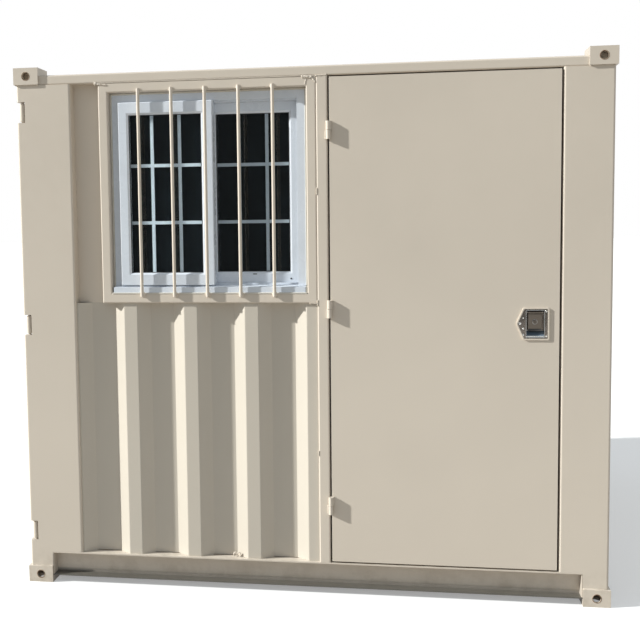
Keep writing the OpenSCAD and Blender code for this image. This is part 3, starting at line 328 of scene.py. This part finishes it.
plate_paint = enamel("cream_enamel_plate", ENAMEL, PLATE_WAVES)
sheet_paint = enamel("cream_enamel_sheet", ENAMEL, SHEET_WAVES, lamp_side_from=-0.45)
shaded_fold_paint = enamel("cream_enamel_folds_shaded", SHADED_FOLD_ENAMEL, FOLD_WAVES)
roof_paint = enamel("cream_enamel_roof", ENAMEL, SHEET_WAVES, lamp_side_shade=0.27, lamp_side_from=-0.3)
bar_paint = enamel("cream_enamel_bars", shade(ENAMEL, 1.02)[:3], 0.0, lamp_side_shade=0.0)
# The rails are a little darker and get painted shade at their foot.
rail_paint = enamel("cream_enamel_rails", shade(ENAMEL, 0.98)[:3], PLATE_WAVES, shaded_to=0.0535)
weld_paint = enamel("cream_enamel_welds", shade(ENAMEL, 1.04)[:3], 0.0, lamp_side_shade=0.0)
print("enamel finishes: 7")

# %% [markdown]
# The window is white hard plastic, which is smooth. Its colour is tinted blue all over as
# painted light, for the blue sky light in its shade. Rain washes its front. The narrow edges of
# its profiles that look to the left, along the wall and at the lamp, are darkened to grey as
# painted shade, so that they stay below white: a mask by the direction of the face does this
# without any unwrapping.

# %% White plastic of the window
# The blue in this white is painted light: it stands for the blue sky light in the shade of the
# plastic.
PLASTIC = (0.715, 0.765, 0.845)
SPECK_COLOUR = (0.34, 0.32, 0.30)
EDGE_SHADE_COLOUR = (0.38, 0.38, 0.39)


def window_plastic():
    material, shader = start_material("white_window_plastic", PLASTIC, 0.28)
    where = places(material)
    smears = spread(material, noise(material, where, 9, 5, 0.6), 0.35, 0.75)
    tone = blend_colours(material, smears, shade(PLASTIC, 1.02), shade(PLASTIC, 0.93))
    specks = spread(material, noise(material, where, 95, 3, 0.7), 0.69, 0.78, 0.0, 0.35)
    tone = blend_colours(material, specks, tone, shade(SPECK_COLOUR))
    # Painted shade: faces that look to the left, at the lamp, are darkened to grey so that they
    # stay below white.
    painted_edge_shade = spread(material, looks_along(material, "X"), -0.9, -0.4, 0.85, 0.0)
    tone = blend_colours(material, painted_edge_shade, tone, shade(EDGE_SHADE_COLOUR))
    join(material, tone, shader.inputs["Base Color"])
    join(material, spread(material, smears, 0, 1, 0.22, 0.40), shader.inputs["Roughness"])
    soft_edge = add_node(material, "Bevel", {"Radius": 0.0015}, samples=4).outputs["Normal"]
    join(material, bump(material, noise(material, where, 60, 2), 0.0001, soft_edge),
         shader.inputs["Normal"])
    return material


plastic = window_plastic()
print("window finish:", plastic.name)

# %% [markdown]
# The glass is a sealed unit of two sheets: the outer one is clear, and the inner one is made
# as black glass, whose black paints the shade of the dark room behind it, so that the room
# can't be seen. Real refraction would light the bars between the sheets only with slow
# caustics, so a plain tinted pass takes its place for the rays that look for a lamp.

# %% Glass of the window
CLEAR_TINT = (0.86, 0.90, 0.90)
ROOM_SHADE_BLACK = (0.006, 0.008, 0.010)


def window_glass(name, tint):
    material, shader = start_material(name, tint, 0.02)
    shader.inputs["Transmission Weight"].default_value = 1.0
    shader.inputs["IOR"].default_value = 1.40
    shader.inputs["Specular IOR Level"].default_value = 0.25
    where = places(material)
    join(material, spread(material, noise(material, where, 7, 4), 0.35, 0.8, 0.0, 0.012),
         shader.inputs["Roughness"])
    passing = add_node(material, "BsdfTransparent", {"Color": (*tint, 1)})
    rays = add_node(material, "LightPath")
    either = add_node(material, "MixShader", {0: rays.outputs["Is Shadow Ray"]})
    output = material.node_tree.nodes["Material Output"]
    join(material, shader.outputs[0], either.inputs[1])
    join(material, passing.outputs[0], either.inputs[2])
    join(material, either.outputs[0], output.inputs["Surface"])
    return material


# Painted shade: this black sheet stands for the dark room behind the window.
def room_shade_glass():
    material, shader = start_material("dark_inner_glass", ROOM_SHADE_BLACK, 0.04)
    shader.inputs["IOR"].default_value = 1.3
    shader.inputs["Specular IOR Level"].default_value = 0.3
    haze = spread(material, noise(material, places(material), 5, 4), 0.35, 0.75)
    tone = blend_colours(material, haze, shade(ROOM_SHADE_BLACK, 0.8), shade(ROOM_SHADE_BLACK, 1.6))
    join(material, tone, shader.inputs["Base Color"])
    join(material, spread(material, haze, 0, 1, 0.015, 0.03), shader.inputs["Roughness"])
    return material


clear_glass = window_glass("clear_outer_glass", CLEAR_TINT)
dark_glass = room_shade_glass()
print("glass finishes:", clear_glass.name, dark_glass.name)

# %% [markdown]
# Rubber and sealant are dull and soft. Both turn pale in patches as they age, the black rubber
# far more than the sealant, so one function makes both and takes the strength of the patches.

# %% Rubber and sealant
def rubber(name, colour, bloom):
    """Rubber or sealant whose weathered patches are brighter by the factor bloom."""
    material, shader = start_material(name, colour, 0.7)
    where = places(material)
    grey = spread(material, noise(material, where, 30, 4), 0.35, 0.8)
    tone = blend_colours(material, grey, shade(colour), shade(colour, bloom))
    join(material, tone, shader.inputs["Base Color"])
    join(material, bump(material, noise(material, where, 300, 3), 0.0002), shader.inputs["Normal"])
    return material


seal_rubber = rubber("black_seal_rubber", (0.018, 0.018, 0.019), bloom=2.6)
sealant = rubber("pale_window_sealant", (0.60, 0.57, 0.51), bloom=1.15)
print("soft finishes:", seal_rubber.name, sealant.name)

# %% [markdown]
# The floor boards are brown coated plywood. Its face grain is a noise that is stretched along
# the length of each board, with a finer one for the pores, and scuffs that lighten the coat
# where boots and pallets pass.

# %% Plywood
PLYWOOD = (0.30, 0.155, 0.065)
SCUFF_COLOUR = (0.36, 0.27, 0.18)


def plywood():
    material, shader = start_material("brown_coated_plywood", PLYWOOD, 0.5)
    along = places(material, (14, 1.2, 14))
    grain = spread(material, noise(material, along, 3.0, 6, 0.65), 0.3, 0.7)
    tone = blend_colours(material, grain, shade(PLYWOOD, 0.72), shade(PLYWOOD, 1.35))
    scuffs = spread(material, noise(material, places(material), 5, 6, 0.7), 0.55, 0.8, 0.0, 0.5)
    tone = blend_colours(material, scuffs, tone, shade(SCUFF_COLOUR))
    join(material, tone, shader.inputs["Base Color"])
    join(material, spread(material, scuffs, 0, 0.5, 0.42, 0.72), shader.inputs["Roughness"])
    join(material, bump(material, grain, 0.0004), shader.inputs["Normal"])
    return material


boards = plywood()
print("floor finish:", boards.name)

# %% [markdown]
# The latch is pressed stainless steel with a polish. Close up it is never a clean mirror: it
# has fine streaks from the press and finger smears. Faces that look up, such as the slope at
# the foot of its recess, lose their metal and take a flat colour that is partly dust and partly
# a painted reflection of the sky, bluish on the plate. The paddle is the same steel gone brown
# and dull from hands, and the lock barrel in it is turned.

# %% Latch metals
def polished_steel(name, colour, rough_low, rough_high, dust_and_sheen_colour):
    material, shader = start_material(name, colour, rough_low, 1.0)
    streaks = noise(material, places(material, (1, 1, 22)), 40, 4)
    smears = noise(material, places(material), 28, 4, 0.6)
    both = times(material, streaks, smears)
    join(material, spread(material, both, 0.1, 0.45, rough_low, rough_high),
         shader.inputs["Roughness"])
    dust = spread(material, noise(material, places(material), 160, 4, 0.7), 0.56, 0.8, 0.0, 0.3)
    tone = blend_colours(material, dust, shade(colour), shade(colour, 0.55))
    # Faces that look up lose their metal and take a flat colour: partly dust, partly a painted
    # reflection of the sky.
    dust_and_sheen = spread(material, looks_along(material, "Z"), 0.45, 0.70)
    tone = blend_colours(material, dust_and_sheen, tone, shade(dust_and_sheen_colour))
    join(material, tone, shader.inputs["Base Color"])
    join(material, spread(material, dust_and_sheen, 0, 1, 1.0, 0.1), shader.inputs["Metallic"])
    soft_edge = add_node(material, "Bevel", {"Radius": 0.0008}, samples=4).outputs["Normal"]
    join(material, bump(material, streaks, 0.00006, soft_edge), shader.inputs["Normal"])
    return material


latch_metal = polished_steel("polished_latch_steel", (0.33, 0.28, 0.24), 0.10, 0.28,
                             dust_and_sheen_colour=(0.15, 0.20, 0.26))
paddle_metal = polished_steel("dull_paddle_steel", (0.15, 0.125, 0.102), 0.26, 0.42,
                              dust_and_sheen_colour=(0.05, 0.05, 0.05))
lock_metal = polished_steel("turned_lock_steel", (0.42, 0.41, 0.40), 0.22, 0.42,
                            dust_and_sheen_colour=(0.62, 0.64, 0.66))
rivet_metal = polished_steel("bright_rivet_steel", (0.80, 0.79, 0.76), 0.12, 0.25,
                             dust_and_sheen_colour=(0.70, 0.69, 0.66))
print("latch finishes: 4")

# %% [markdown]
# Where chains rub, the enamel is gone and the steel under it has turned brown. Two noises of
# different size mix rust, dark oxide and what is left of the cream.

# %% Worn enamel
RUST = (0.24, 0.125, 0.062)
CREAM_LEFT = (0.42, 0.33, 0.24)
OXIDE = (0.09, 0.06, 0.04)


def worn():
    material, shader = start_material("worn_brown_enamel", RUST, 0.8)
    where = places(material)
    patches = spread(material, noise(material, where, 90, 5, 0.7), 0.40, 0.62)
    tone = blend_colours(material, patches, shade(RUST, 0.7), shade(CREAM_LEFT))
    flecks = spread(material, noise(material, where, 260, 3, 0.7), 0.58, 0.70)
    tone = blend_colours(material, flecks, tone, shade(OXIDE))
    join(material, tone, shader.inputs["Base Color"])
    join(material, bump(material, patches, 0.0003), shader.inputs["Normal"])
    return material


worn_paint = worn()
print("worn finish:", worn_paint.name)

# %% [markdown]
# Each node of the fixed model names its material slot in the record. The finishes are given
# out by that name. Thin sheet, the folds under the window, the roof, the round bars and the
# rails get their own kind of enamel, so a second table by node goes first. The folds get a
# darker copy of the enamel and the rails a dark foot, both as painted shade.

# %% Give every node its finish
by_slot = {
    "container_paint": plate_paint, "floor_plywood": boards, "window_plastic": plastic,
    "window_glass": clear_glass, "rubber_seal": seal_rubber, "latch_steel": latch_metal,
    "lock_steel": lock_metal,
}
by_node = {
    "front_panel_lower": shaded_fold_paint, "roof_panel": roof_paint, "security_bars": bar_paint,
    "latch_paddle": paddle_metal, "lock_barrel": paddle_metal,
}
for name in ("front_panel_side", "back_wall_panel", "right_wall_panel", "door_skin",
             "door_lining", "cargo_door_front_leaf", "cargo_door_back_leaf"):
    by_node[name] = sheet_paint
for name in ("front_bottom_rail", "back_bottom_rail", "right_bottom_rail", "cargo_sill"):
    by_node[name] = rail_paint
for part in frame["record"]["subparts"]:
    name = part["node"]
    nodes[name].data.materials.clear()
    nodes[name].data.materials.append(by_node.get(name) or by_slot[part["material_slot"]])

# %% [markdown]
# From here on small things are modelled that the plain solids leave out. Each starts as a
# primitive at its size and place and is shaped by the edit mode tools. Three helpers carry the
# steps that always return: starting a block between two corners, choosing faces or edges by a
# test on their place, and closing the piece with a finish and a body to ride on.
# Closing also weighs the shading by area, or a rounded pane would mirror like a pillow. The
# sizes below are in millimetres from the left end, the front of the corner blocks and the
# floor, because that is how a fitter would measure them; one function turns them into metres.

# %% Helpers for modelling
MM = 0.001


def spot(x, y, z):
    """Place in the scene of a point that is measured in millimetres on the container."""
    return Vector((x * MM + wall_left, y * MM + wall_y, z * MM))


def only(thing):
    """Leaves edit mode and selects that thing alone, or nothing."""
    if bpy.context.object and bpy.context.object.mode != "OBJECT":
        bpy.ops.object.mode_set(mode="OBJECT")
    bpy.ops.object.select_all(action="DESELECT")
    if thing:
        thing.select_set(True)
        bpy.context.view_layer.objects.active = thing


def settle(piece):
    """Moves the place, turn and size of a piece into its mesh."""
    only(piece)
    bpy.ops.object.transform_apply(location=True, rotation=True, scale=True)
    return piece


def block(name, low, high):
    """Box between two corners in millimetres."""
    only(None)
    low, high = spot(*low), spot(*high)
    bpy.ops.mesh.primitive_cube_add(size=1, location=(low + high) / 2)
    piece = bpy.context.object
    piece.name = name
    piece.scale = high - low
    return settle(piece)


def choose(piece, kind, test):
    """Opens the piece in edit mode with only those faces, edges or points selected that pass."""
    only(piece)
    bpy.ops.object.mode_set(mode="EDIT")
    bpy.ops.mesh.select_mode(type=kind)
    bpy.ops.mesh.select_all(action="DESELECT")
    bpy.ops.object.mode_set(mode="OBJECT")
    data = piece.data
    for item in {"FACE": data.polygons, "EDGE": data.edges, "VERT": data.vertices}[kind]:
        item.select = test(item)
    bpy.ops.object.mode_set(mode="EDIT")


def everything(item):
    return True


def round_edges(piece, width, segments=2):
    choose(piece, "EDGE", everything)
    bpy.ops.mesh.bevel(offset=width, segments=segments, affect="EDGES", clamp_overlap=True)
    bpy.ops.object.mode_set(mode="OBJECT")


def close(piece, finish, body, smooth=35):
    """Gives a piece its finish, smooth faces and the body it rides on."""
    only(piece)
    piece.data.materials.clear()
    piece.data.materials.append(finish)
    bpy.ops.object.shade_smooth_by_angle(angle=math.radians(smooth))
    even = piece.modifiers.new("even_shading", "WEIGHTED_NORMAL")
    even.keep_sharp = True
    bpy.ops.object.modifier_apply(modifier=even.name)
    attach(piece, body)
    print(piece.name + ":", len(piece.data.polygons), "faces")
    return piece


# %% [markdown]
# The glass in the fixed model is four plain sheets in one node. Their places are right, so
# the new sheets start from a copy of that mesh: its doubled points are merged, it is split
# into its loose parts, and each part gets blunted edges. The outer sheets stay clear and the
# inner ones become dark. The node itself is hidden, and the new pieces stand for it.

# %% Window glass
def front_of(piece):
    return min(v.co.y for v in piece.data.vertices)


only(None)
all_glass = bpy.data.objects.new("glass_sheets", nodes["window_glass"].data.copy())
bpy.context.scene.collection.objects.link(all_glass)
choose(all_glass, "VERT", everything)
bpy.ops.mesh.remove_doubles(threshold=0.00002)
bpy.ops.mesh.dissolve_limited(angle_limit=math.radians(1))
bpy.ops.mesh.separate(type="LOOSE")
bpy.ops.object.mode_set(mode="OBJECT")
sheets = sorted(bpy.context.selected_objects, key=front_of)
names = ("left_outer_glass", "left_inner_glass", "right_outer_glass", "right_inner_glass")
for sheet, name in zip(sheets, names):
    sheet.name = name
    round_edges(sheet, 0.0006)
    close(sheet, clear_glass if "outer" in name else dark_glass, "root")
    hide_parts("window_glass")

# %% [markdown]
# Round each sheet of glass runs a thin black rubber, and a line of pale sealant fills the gap
# between the white window and the steel round it. Both are frames: a plane is inset, its
# middle is deleted, and the rest is extruded back. An extruded rectangle is simpler than a
# swept profile and gives clean mitres at once.

# %% Rubber and sealant frames
def hollow_out(piece, depth, width, rounding, segments=2):
    """Turns a flat face into a frame of that width, which reaches back by that depth."""
    choose(piece, "FACE", everything)
    bpy.ops.mesh.inset(thickness=width * MM, depth=0)
    bpy.ops.mesh.delete(type="FACE")
    bpy.ops.mesh.select_all(action="SELECT")
    bpy.ops.mesh.extrude_region_move(TRANSFORM_OT_translate={"value": (0, depth * MM, 0)})
    bpy.ops.mesh.select_all(action="SELECT")
    bpy.ops.mesh.normals_make_consistent(inside=False)
    round_edges(piece, rounding * MM, segments)
    return piece


def frame_piece(name, left, right, bottom, top, front, depth, width, rounding):
    """Frame from its outer sides, its front and three sizes, all in millimetres."""
    only(None)
    middle = spot((left + right) / 2, front, (bottom + top) / 2)
    bpy.ops.mesh.primitive_plane_add(size=1, location=middle, rotation=(math.pi / 2, 0, 0))
    piece = bpy.context.object
    piece.name = name
    piece.scale = ((right - left) * MM, (top - bottom) * MM, 1)
    settle(piece)
    return hollow_out(piece, depth, width, rounding)


def merge_into(name, parts):
    """Joins pieces into one object, which keeps the first one's place at the origin."""
    only(None)
    for part in parts:
        part.select_set(True)
    bpy.context.view_layer.objects.active = parts[0]
    if len(parts) > 1:
        bpy.ops.object.join()
    parts[0].name = name
    return parts[0]


GLASS_BOTTOM, GLASS_TOP = 1377, 2048
GLASS_PLACES = ((499, 814, 30), (866, 1181, 86))
RUBBER_SIZE, OVERLAP = 3.5, 0.5
rubbers = []
for left, right, front in GLASS_PLACES:
    rubbers.append(frame_piece("glass_rubber", left - OVERLAP, right + OVERLAP,
                               GLASS_BOTTOM - OVERLAP, GLASS_TOP + OVERLAP,
                               front - RUBBER_SIZE, 3.4, RUBBER_SIZE, 1.0))
close(merge_into("glass_rubbers", rubbers), seal_rubber, "root")
sealing = frame_piece("window_sealant", 413.5, 1258.5, 1282, 2143.5, 41, 8.5, 8, 2.5)
foot_line = block("foot_line", (414, 8.6, 1286.4), (1258, 13.5, 1293))
round_edges(foot_line, 0.0021, 3)
end_line = block("end_line", (1250.4, 13, 1288.6), (1259.4, 44, 1317))
round_edges(end_line, 0.0018, 2)
close(merge_into("window_sealant", [sealing, foot_line, end_line]), sealant, "root")

# %% [markdown]
# Every joint on the steel is welded and painted over. A bead of weld looks like a row of
# overlapping coins. One coin is a sphere that is pressed flat; a row of them is an Array
# modifier, and a small random shift of the points takes the evenness away. A swept tube would
# be lighter, but it reads as a cord and not as a weld.

# %% Helper for weld beads
COIN_LENGTH, COIN_PITCH = 0.62, 0.42


def bead(start, end, width, seed, height=0.5):
    """Row of flattened coins from start to end; height is the share that it stands up."""
    only(None)
    start, end = spot(*start), spot(*end)
    run = end - start
    pitch = width * COIN_PITCH * MM
    bpy.ops.mesh.primitive_uv_sphere_add(segments=10, ring_count=6, radius=width * 0.5 * MM)
    piece = bpy.context.object
    piece.name = "bead"
    choose(piece, "VERT", everything)
    bpy.ops.transform.resize(value=(COIN_LENGTH, height * 2, 1.0))
    bpy.ops.object.mode_set(mode="OBJECT")
    row = piece.modifiers.new("row", "ARRAY")
    row.count = max(2, round(run.length / pitch))
    row.use_relative_offset = False
    row.use_constant_offset = True
    row.constant_offset_displace = (run.length / row.count, 0, 0)
    bpy.ops.object.modifier_apply(modifier="row")
    choose(piece, "VERT", everything)
    bpy.ops.transform.vertex_random(offset=width * 0.10 * MM, uniform=0.4, seed=seed)
    bpy.ops.object.mode_set(mode="OBJECT")
    across = Vector((0, 1, 0))
    along = run.normalized()
    turned = Matrix((along, across, along.cross(across))).transposed().to_4x4()
    piece.matrix_world = Matrix.Translation(start) @ turned
    return settle(piece)


# %% [markdown]
# The posts are welded to the corner blocks, and the steel round the window to the rail above
# and to the upright beside it. Short thick beads stand where a corner was filled up, long thin
# ones where sheet meets sheet. Each has its own random seed, so no two look the same.

# %% Weld beads on the frame
FACE = 8            # how far back the faces of posts, upright and door lie
FRAME_FACE = 10     # the same for the steel round the window
beads = [
    bead((6, FACE, 2188), (108, FACE, 2188), 7, 1),
    bead((2384, FACE, 2188), (2482, FACE, 2188), 7, 2),
    bead((22, FACE, 72), (110, FACE, 72), 6, 3),
    bead((2384, FACE, 72), (2468, FACE, 72), 6, 4),
    bead((372, FRAME_FACE, 2186), (1300, FRAME_FACE, 2186), 4.5, 5, 0.35),
    bead((364, FRAME_FACE, 2182), (410, FRAME_FACE, 2177), 9, 6, 0.4),
    bead((360, FRAME_FACE, 2184), (372, FRAME_FACE, 2184), 15, 12, 0.3),
    bead((1246, FRAME_FACE, 2183), (1288, FRAME_FACE, 2180), 13, 13, 0.35),
    bead((1262, FRAME_FACE, 2178), (1256, FRAME_FACE, 2150), 5, 14, 0.35),
    bead((1286, FRAME_FACE, 2176), (1301, FRAME_FACE, 2158), 9, 15, 0.35),
    bead((1300, FRAME_FACE, 2185), (1346, FRAME_FACE, 2187), 8, 7),
    bead((1301, FACE + 1, 1700), (1301, FACE + 1, 1728), 6, 8),
    bead((1301, FACE + 1, 1238), (1301, FACE + 1, 1262), 6, 9),
    bead((1270, FRAME_FACE, 1247), (1300, FRAME_FACE, 1247), 6, 10),
    bead((1301, FACE + 1, 600), (1301, FACE + 1, 622), 5, 11),
]
close(merge_into("frame_welds", beads), weld_paint, "root", 60)

# %% [markdown]
# The window bars end in a short round pad that is welded down all round. A ring of weld is a
# torus, made a little uneven. One is shaped, then copied to the ten pads.

# %% Welds at the ends of the bars
def twin(piece, shift):
    """Copy with its own mesh, moved by a shift in millimetres."""
    only(piece)
    bpy.ops.object.duplicate(linked=False)
    made = bpy.context.object
    made.location = Vector(shift) * MM
    return settle(made)


BAR_FIRST, BAR_PITCH, BAR_COUNT = 550, 143, 5
PAD_HEIGHTS = (1284.5, 2148.5)
only(None)
bpy.ops.mesh.primitive_torus_add(major_segments=26, minor_segments=8, major_radius=0.0088,
                                 minor_radius=0.0030, rotation=(math.pi / 2, 0, 0),
                                 location=spot(BAR_FIRST, FRAME_FACE - 0.3, PAD_HEIGHTS[0]))
collar = bpy.context.object
settle(collar)
choose(collar, "VERT", everything)
bpy.ops.transform.vertex_random(offset=0.0010, uniform=0.5, seed=21)
bpy.ops.mesh.vertices_smooth(factor=0.4, repeat=1)
bpy.ops.object.mode_set(mode="OBJECT")
collars = [collar]
for i in range(BAR_COUNT):
    for high in (0, PAD_HEIGHTS[1] - PAD_HEIGHTS[0]):
        if i or high:
            collars.append(twin(collar, (i * BAR_PITCH, 0, high)))
close(merge_into("bar_welds", collars), weld_paint, "root", 60)

# %% [markdown]
# Each half of a hinge is welded along its edge, one to the upright and one to the door. The
# two beads ride on different bodies, so they are two pieces.

# %% Welds of the hinges
HINGE_LINE, HINGE_HALF, WING = 1351.5, 36.5, 13
HINGE_MIDDLES = (389, 1223, 1962)
fixed_side, door_side = [], []
for number, middle in enumerate(HINGE_MIDDLES):
    low, high = middle - HINGE_HALF + 1, middle + HINGE_HALF - 1
    left, right = HINGE_LINE - WING, HINGE_LINE + WING
    fixed_side.append(bead((left, FACE, low), (left, FACE, middle - 1), 5, 30 + number))
    door_side.append(bead((right, FACE, middle + 1), (right, FACE, high), 5, 40 + number))
close(merge_into("hinge_welds_fixed", fixed_side), weld_paint, "root", 60)
close(merge_into("hinge_welds_door", door_side), weld_paint, "door", 60)

# %% [markdown]
# At both ends the bottom rail is closed by a small plate beside the corner block. A block is
# enough to start with: one upper corner is cut off by a bevel, and then all edges are broken.

# %% End plates of the bottom rail
ends = []
for low_x in (110.5, 2375.5):
    plate = block("end_plate", (low_x, 9, 31), (low_x + 4, 57, 137.5))
    corner = max(v.co.z for v in plate.data.vertices)
    front = min(v.co.y for v in plate.data.vertices)
    choose(plate, "EDGE", lambda e: all(
        plate.data.vertices[v].co.z > corner - 1e-5 and plate.data.vertices[v].co.y < front + 1e-5
        for v in e.vertices))
    bpy.ops.mesh.bevel(offset=0.010, segments=4, affect="EDGES")
    bpy.ops.object.mode_set(mode="OBJECT")
    round_edges(plate, 0.0006, 1)
    ends.append(plate)
close(merge_into("rail_end_plates", ends), plate_paint, "root")

# %% [markdown]
# The latch plate sits in a raised line of enamel. The line is made like the frames, only that
# its flat outline first gets the point of the plate: the left edge is cut in two and the new
# point is pulled out. An outline of five measured points would be as good, but it hides how
# the shape comes from a plain rectangle.

# %% Raised line round the latch
LATCH_X, LATCH_Z = 2186, 1164
EDGE_WIDTH, EDGE_HEIGHT, POINT_OUT = 0.102, 0.132, 0.029
only(None)
bpy.ops.mesh.primitive_plane_add(size=1, location=spot(LATCH_X, 2.9, LATCH_Z),
                                 rotation=(math.pi / 2, 0, 0))
edge_line = bpy.context.object
edge_line.name = "latch_edge_line"
edge_line.scale = (EDGE_WIDTH, EDGE_HEIGHT, 1)
settle(edge_line)
left = min(v.co.x for v in edge_line.data.vertices)
choose(edge_line, "EDGE", lambda e: all(
    edge_line.data.vertices[v].co.x < left + 1e-5 for v in e.vertices))
bpy.ops.mesh.subdivide(number_cuts=1, ngon=True)
middle = spot(0, 0, LATCH_Z).z
choose(edge_line, "VERT", lambda v: v.co.x < left + 1e-5 and abs(v.co.z - middle) < 0.001)
bpy.ops.transform.translate(value=(-POINT_OUT, 0, 0))
bpy.ops.mesh.select_all(action="SELECT")
bpy.ops.mesh.bevel(offset=0.006, segments=4, affect="VERTICES")
bpy.ops.object.mode_set(mode="OBJECT")
print("outline points:", len(edge_line.data.vertices), "faces:", len(edge_line.data.polygons))
hollow_out(edge_line, 5.5, 5.6, 2.4, 3)
close(edge_line, weld_paint, "door", 50)

# %% [markdown]
# The recess of the latch has a folded lip, and a bright edge runs along its foot. The lip is
# one more frame. The foot edge is a block with rounded edges, so that it catches a line of
# light where a plain corner would stay dark.

# %% Lip and foot edge of the latch recess
lip = frame_piece("latch_recess_lip", 2144.5, 2219.5, 1107.5, 1221.5, 4.1, 1.3, 3.0, 0.6)
close(lip, lock_metal, "door")
foot_bar = block("latch_foot_bar", (2145.5, 3.3, 1111.3), (2218.5, 5.8, 1115.3))
round_edges(foot_bar, 0.0011, 3)
close(foot_bar, rivet_metal, "door")

# %% [markdown]
# A rivet head is a flattened ball that is cut off behind, where it meets the plate. A cylinder
# with a rounded rim would look like a pin, while half a ball catches the light in one bright
# point, as pressed heads do. The large one stands at the point of the latch.

# %% Rivets of the latch
PLATE_FACE = 5
# x, z and width of each head
RIVETS = ((2121.5, 1166, 10.5), (2134.5, 1188, 6), (2134.5, 1145, 7), (2135, 1120, 7),
          (2225.5, 1215, 7), (2225.5, 1114, 7))


def rivet(x, z, width):
    only(None)
    bpy.ops.mesh.primitive_uv_sphere_add(segments=20, ring_count=12, radius=width / 2 * MM,
                                         location=spot(x, PLATE_FACE, z))
    head = bpy.context.object
    head.scale = (1, 0.5, 1)
    settle(head)
    choose(head, "VERT", everything)
    bpy.ops.mesh.bisect(plane_co=spot(x, PLATE_FACE + 0.4, z), plane_no=(0, 1, 0),
                        use_fill=True, clear_outer=True)
    bpy.ops.object.mode_set(mode="OBJECT")
    return head


heads = [rivet(x, z, width) for x, z, width in RIVETS]
close(merge_into("latch_rivets", heads), rivet_metal, "door", 50)

# %% [markdown]
# The lock barrel stands square on the paddle, and the paddle leans in a little. Its collar and
# key slot are made upright and then tipped by the same angle about the middle of the barrel.

# %% Lock collar and key slot
LOCK_X, LOCK_Z, LOCK_FRONT = 2182, 1171.2, 13.66
LEAN = math.atan(4 / 59)


def tip_over(piece):
    centre = Matrix.Translation(spot(LOCK_X, LOCK_FRONT, LOCK_Z))
    piece.matrix_world = centre @ Matrix.Rotation(LEAN, 4, "X") @ centre.inverted()
    return settle(piece)


only(None)
bpy.ops.mesh.primitive_torus_add(major_segments=36, minor_segments=10, major_radius=0.0092,
                                 minor_radius=0.0015, rotation=(math.pi / 2, 0, 0),
                                 location=spot(LOCK_X, LOCK_FRONT + 4.1, LOCK_Z))
lock_collar = settle(bpy.context.object)
choose(lock_collar, "VERT", everything)
bpy.ops.transform.resize(value=(1, 0.8, 1))
bpy.ops.object.mode_set(mode="OBJECT")
lock_collar.name = "lock_collar"
close(tip_over(lock_collar), lock_metal, "paddle", 50)
# Painted shade: the key slot is a black block on the barrel, for the shade inside the slot.
key_slot_shade = block("key_slot", (LOCK_X - 1.1, LOCK_FRONT - 0.15, LOCK_Z - 4.8),
                   (LOCK_X + 1.1, LOCK_FRONT + 0.4, LOCK_Z + 4.8))
round_edges(key_slot_shade, 0.0001, 1)
close(tip_over(key_slot_shade), seal_rubber, "paddle")

# %% [markdown]
# The window has small dark fittings: a slot under the meeting stiles, where water runs out,
# and two caps over the drain holes of the right sash. Real holes would need a boolean in the
# white frame; at this size dark blocks that are let in by a millimetre look the same. The
# black of the slot is painted shade of the open slot.

# %% Drain slot and caps
# Painted shade: this black block stands for the shade inside the open drain slot.
drain_slot_shade = block("drain", (837, 43.3, 1314.6), (884, 45, 1319.2))
round_edges(drain_slot_shade, 0.0004, 2)
cap = block("drain", (1020, 72.2, 1365.2), (1037, 74, 1369.2))
round_edges(cap, 0.0008, 2)
only(None)
bpy.ops.mesh.primitive_cylinder_add(vertices=24, radius=0.0036, depth=0.003,
                                    location=spot(1184, 73, 1347), rotation=(math.pi / 2, 0, 0))
plug = settle(bpy.context.object)
round_edges(plug, 0.0006, 2)
close(merge_into("window_drain_fittings", [drain_slot_shade, cap, plug]), seal_rubber, "root")

# %% [markdown]
# On the ledge of the bottom rail stand two small wire loops, welded side by side, where the
# wall was held while it was tacked. Each is a torus whose lowest part sinks into the ledge. A
# bent curve could make them too, but a torus that is stretched upwards needs no profile.

# %% Wire loops on the ledge
loops = []
for number, middle in enumerate((931, 947)):
    only(None)
    bpy.ops.mesh.primitive_torus_add(major_segments=24, minor_segments=8, major_radius=0.0078,
                                     minor_radius=0.0021, rotation=(math.pi / 2, 0, 0),
                                     location=spot(middle, 35, 147))
    loop = settle(bpy.context.object)
    choose(loop, "VERT", everything)
    bpy.ops.transform.resize(value=(0.95, 1, 1.25))
    bpy.ops.transform.vertex_random(offset=0.0005, uniform=0.4, seed=60 + number)
    bpy.ops.object.mode_set(mode="OBJECT")
    loops.append(loop)
close(merge_into("ledge_loops", loops), weld_paint, "root", 60)

# %% [markdown]
# The round holes in the corner blocks are where chains and lashings rub, so their rims are
# worn to brown. A rim is a torus that is pressed flat; one is shaped and copied to the eight
# front and back faces.

# %% Worn rims of the block holes
only(None)
bpy.ops.mesh.primitive_torus_add(major_segments=40, minor_segments=8, major_radius=0.0172,
                                 minor_radius=0.0017, rotation=(math.pi / 2, 0, 0),
                                 location=spot(55, 0.1, 36))
rim = settle(bpy.context.object)
choose(rim, "VERT", everything)
bpy.ops.transform.resize(value=(1, 0.55, 1))
bpy.ops.transform.vertex_random(offset=0.0003, uniform=0.3, seed=51)
bpy.ops.object.mode_set(mode="OBJECT")
rims = [rim]
for along in (0, 2380):
    for across in (0, 2186.8):
        for up in (0, 2188):
            if along or across or up:
                rims.append(twin(rim, (along, across, up)))
close(merge_into("block_hole_rims", rims), worn_paint, "root", 50)
